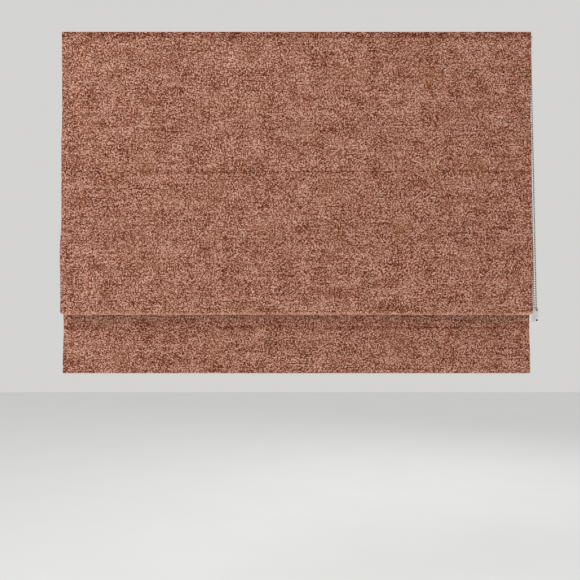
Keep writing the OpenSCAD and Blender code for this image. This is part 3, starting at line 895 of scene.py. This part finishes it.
class Bench:
    """Where pieces are made: primitives, edit mode, modifiers and plain meshes."""

    @staticmethod
    def clear() -> None:
        """Deselects everything."""
        bpy.ops.object.select_all(action="DESELECT")

    @staticmethod
    def hold(piece: bpy.types.Object) -> None:
        """Takes one piece in hand.

        Args:
            piece: The piece to select alone and to make the active one.
        """
        Bench.clear()
        piece.select_set(True)
        bpy.context.view_layer.objects.active = piece

    @staticmethod
    def grid(name: str, rows: np.ndarray, across: np.ndarray, along: np.ndarray,
             closed: bool = False) -> bpy.types.Object:
        """A mesh of four-sided faces on a net of points.

        Args:
            name: The piece's name.
            rows: The points, as rows of columns of three numbers.
            across: The U of each column.
            along: The V of each row.
            closed: Whether each row joins its last column to its first; across then has one more number.

        Returns:
            The new piece.
        """
        count, width = rows.shape[:2]
        faces, corners = [], []
        for i in range(count - 1):
            for k in range(width if closed else width - 1):
                here, right = i * width + k, i * width + (k + 1) % width
                faces.append((here, here + width, right + width, right))
                corners += [across[k], along[i], across[k], along[i + 1],
                            across[k + 1], along[i + 1], across[k + 1], along[i]]
        mesh = bpy.data.meshes.new(name)
        mesh.from_pydata(rows.reshape(-1, 3).tolist(), [], faces)
        mesh.uv_layers.new(name="UVMap").data.foreach_set("uv", np.array(corners, np.float32))
        piece = bpy.data.objects.new(name, mesh)
        bpy.context.scene.collection.objects.link(piece)
        return piece

    @staticmethod
    def thicken(piece: bpy.types.Object, thickness: float) -> None:
        """Gives a net its thickness and smooth shading.

        Args:
            piece: The net, which becomes the middle surface.
            thickness: The thickness, half to each side.
        """
        Bench.hold(piece)
        wall = piece.modifiers.new("wall", "SOLIDIFY")
        wall.thickness = thickness
        wall.offset = 0.0
        wall.use_even_offset = True
        bpy.ops.object.modifier_apply(modifier=wall.name)
        bpy.ops.object.shade_smooth_by_angle(angle=SMOOTH_UNDER)

    @staticmethod
    def tube(name: str, line: np.ndarray, radius: float, sides: int = 10) -> bpy.types.Object:
        """A round tube along a line of points, closed at both ends.

        Args:
            name: The piece's name.
            line: The points along its middle.
            radius: Its radius.
            sides: Its sides.

        Returns:
            The new piece.
        """
        along = directions(line)
        # The ring may start from any direction that isn't the tube's own.
        aside = np.cross(along, (1.0, 0.0, 0.0) if abs(along[0][0]) < 0.9 else (0.0, 1.0, 0.0))
        aside /= np.linalg.norm(aside, axis=1, keepdims=True)
        over = np.cross(along, aside)
        angles = np.linspace(0, 2 * math.pi, sides, endpoint=False)[None, :, None]
        rows = line[:, None] + radius * (np.cos(angles) * aside[:, None] + np.sin(angles) * over[:, None])
        piece = Bench.grid(name, rows, np.linspace(0, 1, sides + 1), run_lengths(line), closed=True)
        Bench.hold(piece)
        bpy.ops.object.mode_set(mode="EDIT")
        bpy.ops.mesh.select_all(action="SELECT")
        bpy.ops.mesh.fill_holes(sides=0)
        bpy.ops.mesh.normals_make_consistent(inside=False)
        bpy.ops.object.mode_set(mode="OBJECT")
        bpy.ops.object.shade_smooth_by_angle(angle=SMOOTH_UNDER)
        return piece

    @staticmethod
    def merge(pieces: Sequence[bpy.types.Object]) -> bpy.types.Object:
        """Joins pieces.

        Args:
            pieces: The pieces, of which the first one takes in the others.

        Returns:
            The first piece.
        """
        Bench.hold(pieces[0])
        for piece in pieces:
            piece.select_set(True)
        bpy.ops.object.join()
        return pieces[0]


@dataclass
class SubAssembly:
    """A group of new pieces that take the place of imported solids."""

    wardrobe: Wardrobe

    def fit(self, piece: bpy.types.Object, slot: Slot, node: str) -> None:
        """Dresses a piece for its place.

        Args:
            piece: The finished piece.
            slot: The material slot that it takes its finish from.
            node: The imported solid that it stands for.
        """
        self.wardrobe.dress(piece, slot)
        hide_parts(node)

    def build(self) -> list[bpy.types.Object]:
        """Makes the pieces."""
        raise NotImplementedError


def gathers(piece: bpy.types.Object, top: float, foot: float, lift: float) -> None:
    """Hangs a piece on the headrail, with a mesh of its own.

    Args:
        piece: The finished piece.
        top: The height that stays; not used.
        foot: The height that rises with the stack; not used.
        lift: The stack's whole travel; not used.
    """
    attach(piece, Body.HEAD.value)
    1 - lift / (top - foot)
    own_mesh(piece)


@dataclass(frozen=True)
class Layer:
    """One of the blind's two cloths.

    Attributes:
        name: The start of its pieces' names.
        node: The solid that they stand for.
        slot: Their material slot.
        line: The show side in Y and Z.
        columns: The place in X and the depth behind the show side of each column.
        thickness: The cloth's thickness.
    """

    name: str
    node: str
    slot: Slot
    line: np.ndarray
    columns: list[Point2]
    thickness: float


@dataclass
class Cloth(SubAssembly):
    """The face cloth and its lining, each one length drawn as two pieces that meet a row above rod 2.

    The upper piece hangs from the headrail, and the lower one, with the fold and the hem, rides
    on the stack.

    Attributes:
        lift: The stack's whole travel.
        hang: The line that both cloths follow.
        half_width: Half the blind's width.
        turning: Width of the turning at each side.
        face_t: Thickness of the face cloth.
        face_mid: From the show side to the middle of the face cloth.
        turning_mid: From the show side to the middle of the turnings.
        bend_points: Points round a side's bend.
        turning_points: Points across a turning.
        lining_half: Half the lining's width.
        lining_mid: From the show side to the middle of the lining.
        lining_t: Thickness of the lining.
        lining_tuck: How far the lining goes down inside the hem's pocket.
        column: Space between columns.
        ripple: Height of the ripples between rods.
        broad: Broad ripples to a metre, across, up and in depth.
        fine: Fine ripples to a metre, across and up.
        fine_part: Height of the fine ripples, as a share of the broad ones.
        fine_layer: The layer of the noise that the fine ripples are cut from.
        end_rise: How far the fold's rounded ends turn up.
        end_width: Width of those ends.
    """

    lift: float
    hang: HangLine = HANG
    half_width: float = 0.6
    turning: float = 0.038
    face_t: float = 0.0011
    face_mid: float = 0.0006
    turning_mid: float = 0.00185
    bend_points: int = 6
    turning_points: int = 5
    lining_half: float = 0.58
    lining_mid: float = 0.00295
    lining_t: float = 0.0004
    lining_tuck: float = 0.012
    column: float = 0.009
    ripple: float = 0.0009
    broad: Point3 = (5.5, 3.0, 20.0)
    fine: Point2 = (14.0, 9.0)
    fine_part: float = 0.4
    fine_layer: float = 4.0
    end_rise: float = 0.004
    end_width: float = 0.012

    def _end(self, x: float, y: float, z: float) -> float:
        """Rounds the fold's ends.

        Args:
            x: The place across.
            y: The place in depth.
            z: The height.

        Returns:
            How far the cloth turns up there.
        """
        below = (self.hang.fold[1] - z) / self.hang.fold_r
        out = (abs(x) - self.half_width + self.end_width) / self.end_width
        on_fold = y < self.hang.fold[0] + 2 * self.hang.fold_r + self.face_t
        return self.end_rise * out * out * below if on_fold and below > 0.0 and out > 0.0 else 0.0

    def _ripple(self, x: float, y: float, z: float) -> float:
        """Ripples the cloth between the rail and the rods, where it is free.

        Args:
            x: The place across.
            y: The place in depth.
            z: The height.

        Returns:
            How far the cloth stands back from its line there.
        """
        # The rail, the rods and the bar hold the cloth to its line.
        held = [self.hang.head[1], self.hang.rod_1[1], self.hang.rod_2[1], self.hang.hem[1]]
        if z > held[0]:
            return 0.0
        over, under = next(((a, b) for a, b in zip(held, held[1:]) if a >= z >= b), (held[-2], held[-1]))
        free = math.sin(math.pi * (over - z) / (over - under)) ** 2
        broad = noise.noise(Vector((x * self.broad[0], z * self.broad[1], y * self.broad[2])))
        fine = noise.noise(Vector((x * self.fine[0], z * self.fine[1], self.fine_layer)))
        return self.ripple * free * (broad + self.fine_part * fine)

    def _net(self, name: str, layer: Layer, rows: slice) -> bpy.types.Object:
        """Draws part of a cloth's middle surface.

        Args:
            name: The piece's name.
            layer: The cloth.
            rows: The part of the cloth's line that this piece covers.

        Returns:
            The new piece, with its UV map in metres.
        """
        down, across = run_lengths(layer.line)[rows], run_lengths(np.array(layer.columns))
        points = np.zeros((len(down), len(across), 3))
        for i, ((y, z), normal) in enumerate(zip(layer.line[rows], left_normals(layer.line)[rows])):
            for k, (x, depth) in enumerate(layer.columns):
                back = depth + self._ripple(x, y, z)
                points[i, k] = (x, y + back * normal[0], z + back * normal[1] + self._end(x, y, z))
        return Bench.grid(name, points, across, down)

    def _face_columns(self) -> list[Point2]:
        """Lays out the face cloth across.

        Returns:
            Its columns, from the left turning over the front to the right one.
        """
        edge_r = (self.turning_mid - self.face_mid) / 2
        edge_x = self.half_width - self.face_mid - edge_r
        bend = [(edge_x + edge_r * math.cos(a), self.face_mid + edge_r * (1 + math.sin(a)))
                for a in np.linspace(-math.pi / 2, math.pi / 2, self.bend_points)]
        inner = np.linspace(edge_x, self.half_width - self.turning, self.turning_points)
        right = bend[1:] + [(x, self.turning_mid) for x in inner[1:]]
        front = self._flat_columns(edge_x, self.face_mid)
        return [(-x, depth) for x, depth in reversed(right)] + front + right

    def _flat_columns(self, half: float, depth: float) -> list[Point2]:
        """Even columns over half a width to each side, at one depth."""
        return [(x, depth) for x in np.linspace(-half, half, round(2 * half / self.column) + 1)]

    def _pair(self, layer: Layer) -> list[bpy.types.Object]:
        """Makes one cloth's two pieces.

        Args:
            layer: The cloth.

        Returns:
            The upper and the lower piece.
        """
        line = layer.line
        # The lower piece starts a row above rod 2, so the cloth at the rod's tape rides with the rod.
        shown = line[:line[:, 1].argmin(), 1]
        meet = int(np.abs(shown - self.hang.rod_2[1]).argmin()) - 1
        upper = self._net(f"{layer.name}_drop", layer, slice(0, meet + 1))
        lower = self._net(f"{layer.name}_pleat", layer, slice(meet, None))
        length, width = run_lengths(line), run_lengths(np.array(layer.columns))[-1]
        flats = (length[meet], length[-1] - length[meet])
        for piece, flat, hung in zip((upper, lower), flats, ("headrail", upper.name)):
            Bench.thicken(piece, layer.thickness)
            self.fit(piece, layer.slot, layer.node)
        gathers(upper, self.hang.top, float(line[meet][1]), self.lift)
        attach(lower, Body.STACK.value)
        return [upper, lower]

    def build(self) -> list[bpy.types.Object]:
        """Makes the face cloth and the lining.

        Returns:
            The four pieces.
        """
        face = Layer("chenille", "face_fabric", Slot.FACE, self.hang.cloth(), self._face_columns(),
                     self.face_t)
        lining = Layer("sateen", "lining", Slot.LINING, self.hang.lining(self.lining_tuck),
                       self._flat_columns(self.lining_half, self.lining_mid), self.lining_t)
        return self._pair(face) + self._pair(lining)


@dataclass
class RodTapes(SubAssembly):
    """The sewn tunnels of the three rods, each one folded tape with its two plies sewn to the lining.

    Attributes:
        hang: The cloth's line, which gives the rods' places.
        rod_off: From the cloth's show side to a rod's middle.
        tunnel_r: Radius of the tunnel, at the tape's middle.
        slack: How far the inner ply stands off the tunnel.
        tape_t: Thickness of the tape.
        ply: Space between the two plies.
        flange: How far the inner ply goes up the lining.
        short: How much shorter the outer ply is.
        parted: Height of the gap between the tunnel's end and the outer ply.
        inner_points: Points on the inner ply.
        loop_points: Points round the tunnel.
        outer_points: Points on the outer ply.
        half_length: Half a tape's length.
        column: Space between columns along it.
    """

    hang: HangLine = HANG
    rod_off: float = 0.00665
    tunnel_r: float = 0.0031
    slack: float = 0.00005
    tape_t: float = 0.0005
    ply: float = 0.0006
    flange: float = 0.006
    short: float = 0.0006
    parted: float = 0.001
    inner_points: int = 6
    loop_points: int = 26
    outer_points: int = 5
    half_length: float = 0.576
    column: float = 0.012

    def _profile(self) -> np.ndarray:
        """Draws the tape about its rod: down the inner ply, round the tunnel and up the outer ply.

        Returns:
            Points of its middle line, as (towards the cloth, up the cloth).
        """
        near = self.tunnel_r + self.slack
        parting = math.acos((near - 2 * self.ply) / self.tunnel_r)
        inner = [(near, self.flange - t) for t in np.linspace(0, self.flange, self.inner_points)[:-1]]
        loop = [(self.tunnel_r * math.cos(a), -self.tunnel_r * math.sin(a))
                for a in np.linspace(0, 2 * math.pi - parting, self.loop_points)]
        heights = np.linspace(loop[-1][1] + self.parted, self.flange - self.short, self.outer_points)
        return np.array(inner + loop + [(near - self.ply, up) for up in heights])

    def _over_crest(self, near: float, up: float) -> Point2:
        """Turns a point of the profile to lie about rod 3, which is over the cloth's crest.

        Args:
            near: How far the point is towards the cloth.
            up: How far it is up the cloth.

        Returns:
            Its place in Y and Z from the rod's middle, with the plies bent over the crest.
        """
        if up <= 0.0 or near < self.tunnel_r - 2 * self.ply:
            return (up, -near)
        drop = self.hang.crest_r + self.rod_off
        turn = up / (drop - self.tunnel_r)
        return ((drop - near) * math.sin(turn), (drop - near) * math.cos(turn) - drop)

    def build(self) -> list[bpy.types.Object]:
        """Makes the three tapes, which ride on their rods' bodies.

        Returns:
            The tapes.
        """
        profile = self._profile()
        flat = [(-near, up) for near, up in profile]
        bent = [self._over_crest(near, up) for near, up in profile]
        hang = self.hang
        rods = [(hang.rod_1[0] + self.rod_off, hang.rod_1[1], flat, Body.UPPER_ROD),
                (hang.rod_2[0] + self.rod_off, hang.rod_2[1], flat, Body.STACK),
                (hang.crest[0], hang.crest[1] + hang.crest_r + self.rod_off, bent, Body.STACK)]
        around, length = run_lengths(profile), 2 * self.half_length
        xs = np.linspace(-self.half_length, self.half_length, round(length / self.column) + 1)
        tapes = []
        for number, (y, z, points, body) in enumerate(rods, 1):
            rows = np.array([[(x, y + p[0], z + p[1]) for p in points] for x in xs])
            tape = Bench.grid(f"rod_tunnel_{number}", rows, around, xs + self.half_length)
            Bench.thicken(tape, self.tape_t)
            self.fit(tape, Slot.TAPE, f"rod_tape_{number}")
            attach(tape, body.value)
            tapes.append(tape)
        return tapes


@dataclass
class HeadTapes(SubAssembly):
    """The two halves of the fastening tape between the rail and the cloth.

    Attributes:
        step: Space between columns along a strip.
        threads: Points across a strip.
        edge: How far the net stays inside the solid's edges, as a share of its thickness.
        fill: A strip's thickness, as a share of its solid's.
    """

    step: float = 0.012
    threads: int = 6
    edge: float = 0.25
    fill: float = 0.96

    def build(self) -> list[bpy.types.Object]:
        """Makes both strips where their solids are.

        Returns:
            The strips.
        """
        strips = []
        for node in ("hook_tape", "loop_tape"):
            low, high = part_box(node)
            middle, thickness = (low.y + high.y) / 2, high.y - low.y
            xs = np.linspace(low.x, high.x, round((high.x - low.x) / self.step) + 1)
            zs = np.linspace(low.z + thickness * self.edge, high.z - thickness * self.edge, self.threads)
            rows = np.array([[(x, middle, z) for z in zs] for x in xs])
            strip = Bench.grid(node.replace("_tape", "_strip"), rows, zs - low.z, xs - low.x)
            Bench.thicken(strip, thickness * self.fill)
            self.fit(strip, Slot.TAPE, node)
            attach(strip, Body.HEAD.value)
            strips.append(strip)
        return strips


@dataclass
class LiftCords(SubAssembly):
    """The three lift cords: the turns on each drum, the run to rod 2's ring, and the end tied at rod 3.

    Attributes:
        lift: The stack's whole travel.
        stations: The cords' places in X.
        radius: A cord's radius.
        step: Space between points along it.
        axis: The drums' axis in Y and Z.
        coil_r: Radius of the turns.
        coil_pitch: Space between turns.
        turns: Turns on a drum.
        sectors: Points in a turn.
        run: The route in Y and Z from the drum past rod 1's ring to rod 2's.
        end: The route from rod 2's ring to the stop at rod 3.
    """

    lift: float
    stations: tuple[float, ...] = (-0.43, 0.0, 0.43)
    radius: float = 0.0007
    step: float = 0.012
    axis: Point2 = (-0.020, -0.0015)
    coil_r: float = 0.00875
    coil_pitch: float = 0.00145
    turns: int = 5
    sectors: int = 28
    run: tuple[Point2, ...] = ((-0.02875, -0.00155), (-0.0294, -0.272), (-0.0406, -0.552))
    end: tuple[Point2, ...] = ((-0.0406, -0.552), (-0.02955, -0.574),
                               (-0.02615, -0.580), (-0.02615, -0.587))

    def _points(self, x: float, route: Sequence[Point2]) -> np.ndarray:
        """Follows a route at one station.

        Args:
            x: The station's place.
            route: The route's corners in Y and Z.

        Returns:
            Points along it, about a step apart.
        """
        points: list[Point3] = []
        for a, b in zip(route, route[1:]):
            count = max(2, round(math.dist(a, b) / self.step))
            points += [(x, a[0] + (b[0] - a[0]) * i / count, a[1] + (b[1] - a[1]) * i / count)
                       for i in range(count)]
        return np.array([*points, (x, *route[-1])])

    def _coil(self, x: float) -> np.ndarray:
        """Winds the turns on one drum.

        Args:
            x: The place where the cord leaves the drum.

        Returns:
            The points of the turns, which come down to the front of the drum.
        """
        count = self.turns * self.sectors
        back = [self.turns * (1 - i / count) for i in range(count + 1)]
        angles = [math.pi - 2 * math.pi * turn for turn in back]
        return np.array([(x - self.coil_pitch * turn, self.axis[0] + self.coil_r * math.cos(a),
                          self.axis[1] + self.coil_r * math.sin(a)) for turn, a in zip(back, angles)])

    def _cord(self, name: str, node: str, line: np.ndarray) -> bpy.types.Object:
        """Makes one length of cord in place of a solid.

        Args:
            name: The piece's name.
            node: The solid that it stands for.
            line: The points along its middle.

        Returns:
            The cord.
        """
        cord = Bench.tube(name, line, self.radius)
        self.fit(cord, Slot.CORD, node)
        return cord

    def build(self) -> list[bpy.types.Object]:
        """Makes the runs, their ends and the turns on the drums.

        Returns:
            All the lengths of cord.
        """
        made = []
        for number, x in enumerate(self.stations, 1):
            node = f"lift_cord_{number}"
            lines = [self._points(x, self.run), self._points(x, self.end)]
            run = self._cord(f"lift_line_{number}", node, lines[0])
            end = self._cord(f"tied_line_{number}", node, lines[1])
            wound = self._cord(f"wound_line_{number}", f"cord_turns_{number}", self._coil(x))
            gathers(run, self.run[0][1], self.run[-1][1], self.lift)
            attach(end, Body.STACK.value)
            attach(wound, Body.DRIVE.value)
            for piece, line in zip((run, end), lines):
                2 * self.radius
            made += [run, end, wound]
        return made


@dataclass
class BallChain(SubAssembly):
    """The control chain: balls on short pins, over the wheel and under the saddle.

    Attributes:
        top: The wheel's middle.
        foot: The saddle's middle.
        wheel_r: Radius of the balls' middles on the wheel.
        ball_r: A ball's radius.
        segments: Faces round a ball.
        rings: Rows of faces on a ball, from hole to hole.
        flat: Height of a ball's flattened ends, as a share of its radius.
        pin_r: A pin's radius.
        pin_sides: A pin's sides.
        pitch: Space between balls.
        pockets: Pockets round the wheel.
    """

    top: Point3 = (0.6005, -0.020, -0.0015)
    foot: Point3 = (0.6155, -0.020, -0.7105)
    wheel_r: float = 0.009708
    ball_r: float = 0.00225
    segments: int = 10
    rings: int = 6
    flat: float = 0.86
    pin_r: float = 0.0006
    pin_sides: int = 8
    pitch: float = 0.006
    pockets: int = 10

    def _line(self) -> np.ndarray:
        """Lays out the loop.

        Returns:
            The middles of the balls, once round from the front of the wheel.
        """
        top, foot = np.array(self.top), np.array(self.foot)
        count = round(float(np.linalg.norm(foot - top)) / self.pitch)
        down = [top + (foot - top) * i / count for i in range(count + 1)]
        front, back = np.array((0.0, -self.wheel_r, 0.0)), np.array((0.0, self.wheel_r, 0.0))
        angles = [math.pi * k / (self.pockets / 2) for k in range(1, self.pockets // 2)]
        under = [foot + (0.0, -self.wheel_r * math.cos(a), -self.wheel_r * math.sin(a)) for a in angles]
        over = [top + (0.0, self.wheel_r * math.cos(a), self.wheel_r * math.sin(a)) for a in angles]
        return np.array([p + front for p in down] + under + [p + back for p in reversed(down)] + over)

    def _ball(self) -> bpy.types.Object:
        """Makes one ball, flattened at the two holes where its pins go in.

        Returns:
            The ball at the origin, with its holes along Z.
        """
        Bench.clear()
        bpy.ops.mesh.primitive_uv_sphere_add(segments=self.segments, ring_count=self.rings,
                                             radius=self.ball_r)
        ball = bpy.context.object
        bpy.ops.object.mode_set(mode="EDIT")
        bpy.ops.mesh.select_all(action="DESELECT")
        bpy.ops.object.mode_set(mode="OBJECT")
        # Only the two poles are picked, and pushed in towards the middle.
        pole = max(vertex.co.z for vertex in ball.data.vertices) * 0.99
        for vertex in ball.data.vertices:
            vertex.select = abs(vertex.co.z) > pole
        bpy.ops.object.mode_set(mode="EDIT")
        bpy.ops.mesh.select_mode(type="VERT")
        bpy.ops.transform.resize(value=(1.0, 1.0, self.flat))
        bpy.ops.object.mode_set(mode="OBJECT")
        bpy.ops.object.shade_smooth()
        return ball

    def build(self) -> list[bpy.types.Object]:
        """Makes the chain in place of its solid.

        Returns:
            The chain alone.
        """
        line = self._line()
        template = self._ball()
        balls = []
        for place, along in zip(line, np.roll(line, -1, axis=0) - np.roll(line, 1, axis=0)):
            ball = template.copy()
            ball.data = template.data.copy()
            bpy.context.scene.collection.objects.link(ball)
            turned = Vector(along).to_track_quat("Z", "X").to_matrix().to_4x4()
            ball.data.transform(Matrix.Translation(Vector(place)) @ turned)
            balls.append(ball)
        bpy.data.objects.remove(template)
        pins = Bench.tube("chain_pins", np.vstack([line, line[:1]]), self.pin_r, self.pin_sides)
        chain = Bench.merge([*balls, pins])
        chain.name = "ball_chain"
        self.fit(chain, Slot.CHAIN, "bead_chain")
        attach(chain, Body.HEAD.value)
        return [chain]


@dataclass(frozen=True)
class Lamp:
    """A square soft lamp.

    Attributes:
        name: Its name.
        place: Where it stands.
        size: Length of its side.
        power: Its power in watts.
    """

    name: str
    place: Point3
    size: float
    power: float

    def light(self, aim: Point3) -> None:
        """Stands the lamp in the scene.

        Args:
            aim: The point that it looks at.
        """
        data = bpy.data.lights.new(self.name, "AREA")
        data.size, data.energy = self.size, self.power
        lamp = bpy.data.objects.new(self.name, data)
        lamp.location = self.place
        lamp.rotation_euler = (Vector(aim) - Vector(self.place)).to_track_quat("-Z", "Y").to_euler()
        bpy.context.scene.collection.objects.link(lamp)


@dataclass
class Studio:
    """The floor, the light and the camera.

    Attributes:
        eye: Where the camera is, looking along +Y.
        lens: Its focal length, in millimetres.
        sensor: Width of its sensor, in millimetres.
        middle: The point that the lamps look at.
        lamps: The lamps.
        sky: Strength of the even light from all round.
        backdrop: The background's colour.
        floor_z: Height of the floor.
        floor_half: Half the floor's side.
        floor_light: The floor's paler colour.
        floor_dark: The floor's darker colour.
        floor_shown: The glow that evens out the floor where it is seen.
        bounce: The floor's glow on the object.
    """

    eye: Point3 = (-0.0166, -2.238, -0.642)
    lens: float = 53.43
    sensor: float = 36.0
    middle: Point3 = (0.0, -0.04, -0.42)
    lamps: tuple[Lamp, ...] = (Lamp("key", (-2.1, -2.2, 1.5), size=1.6, power=62.0),
                               Lamp("rear", (1.2, 2.4, 1.2), size=2.0, power=40.0))
    sky: float = 0.46
    backdrop: Colour = (0.66, 0.655, 0.645)
    floor_z: float = -1.62
    floor_half: float = 6.0
    floor_light: Colour = (0.62, 0.62, 0.61)
    floor_dark: Colour = (0.60, 0.60, 0.59)
    floor_shown: Colour = (0.26, 0.26, 0.255)
    bounce: Colour = (0.68, 0.68, 0.68)

    @staticmethod
    def _seen(sheet: NodeSheet) -> Value:
        """Tells how the studio is looked at.

        Args:
            sheet: The nodes that ask.

        Returns:
            1 on the rays by which the camera, gloss and glass see the studio, and 0 on the others.
        """
        seen = sheet.node("ShaderNodeLightPath", output="Is Camera Ray")
        for ray in ("Is Glossy Ray", "Is Transmission Ray"):
            seen = seen.most(sheet.node("ShaderNodeLightPath", output=ray))
        return seen

    def _world(self) -> None:
        """A pale background for the camera and for reflections, and an even sky for the rest."""
        world = bpy.data.worlds.new("pale_studio")
        world.use_nodes = True
        bpy.context.scene.world = world
        sheet = NodeSheet(world.node_tree)
        white = sheet.rgba((1.0, 1.0, 1.0))
        sky = sheet.node("ShaderNodeBackground", inputs={"Color": white, "Strength": self.sky})
        wall = sheet.node("ShaderNodeBackground", inputs={"Color": sheet.rgba(self.backdrop)})
        both = sheet.node("ShaderNodeMixShader", inputs={0: self._seen(sheet), 1: sky, 2: wall})
        sheet.feed(world.node_tree.nodes["World Output"].inputs["Surface"], both)

    def _floor(self) -> None:
        """A plain pale floor below the blind."""
        Bench.clear()
        bpy.ops.mesh.primitive_plane_add(size=2 * self.floor_half, location=(0.0, 0.0, self.floor_z))
        floor = bpy.context.object
        floor.name = "floor"
        sheet = Skin("pale_floor")
        cloud = sheet.noise(sheet.place(), 3.0, 3.0)
        colour = sheet.ramp(cloud, (0.3, self.floor_dark), (0.7, self.floor_light))
        glow = sheet.mixed(self._seen(sheet), self.bounce, self.floor_shown)
        floor.data.materials.append(sheet.finish(colour, 0.9, Emission_Strength=1.0))
        sheet.feed(sheet.shader.inputs["Emission Color"], glow)

    def _camera(self) -> None:
        """A level camera at the photograph's viewing angle."""
        data = bpy.data.cameras.new("camera")
        data.lens = self.lens
        data.sensor_width = self.sensor
        camera = bpy.data.objects.new("camera", data)
        camera.location = self.eye
        camera.rotation_euler = (math.pi / 2, 0.0, 0.0)
        bpy.context.scene.collection.objects.link(camera)
        bpy.context.scene.camera = camera

    def build(self) -> None:
        """Sets the scene."""
        bpy.context.scene.view_settings.view_transform = "Standard"
        self._world()
        self._floor()
        for lamp in self.lamps:
            lamp.light(self.middle)
        self._camera()


def empty_scene() -> None:
    """Removes what Blender starts with."""
    for piece in list(bpy.data.objects):
        bpy.data.objects.remove(piece)


def corners(bounds: tuple[Vector, Vector]) -> list[list[float]]:
    """A box as plain lists of numbers."""
    return [list(corner) for corner in bounds]


def main() -> None:
    """Builds the dressed blind and its studio."""
    logging.basicConfig(level=logging.INFO, format="%(name)s: %(message)s")
    empty_scene()
    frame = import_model()
    wardrobe = Wardrobe()
    wardrobe.dress_solids(frame["nodes"], frame["record"])
    Studio().build()
    lift = next(joint for joint in frame["joints"] if joint["name"] == "lift")["range_m"][1]
    groups: list[SubAssembly] = [LiftCords(wardrobe, lift), BallChain(wardrobe), Cloth(wardrobe, lift),
                                 RodTapes(wardrobe), HeadTapes(wardrobe)]
    for group in groups:
        for piece in group.build():
            LOG.info("%s: %d faces", piece.name, len(piece.data.polygons))


if __name__ == "__main__":
    main()
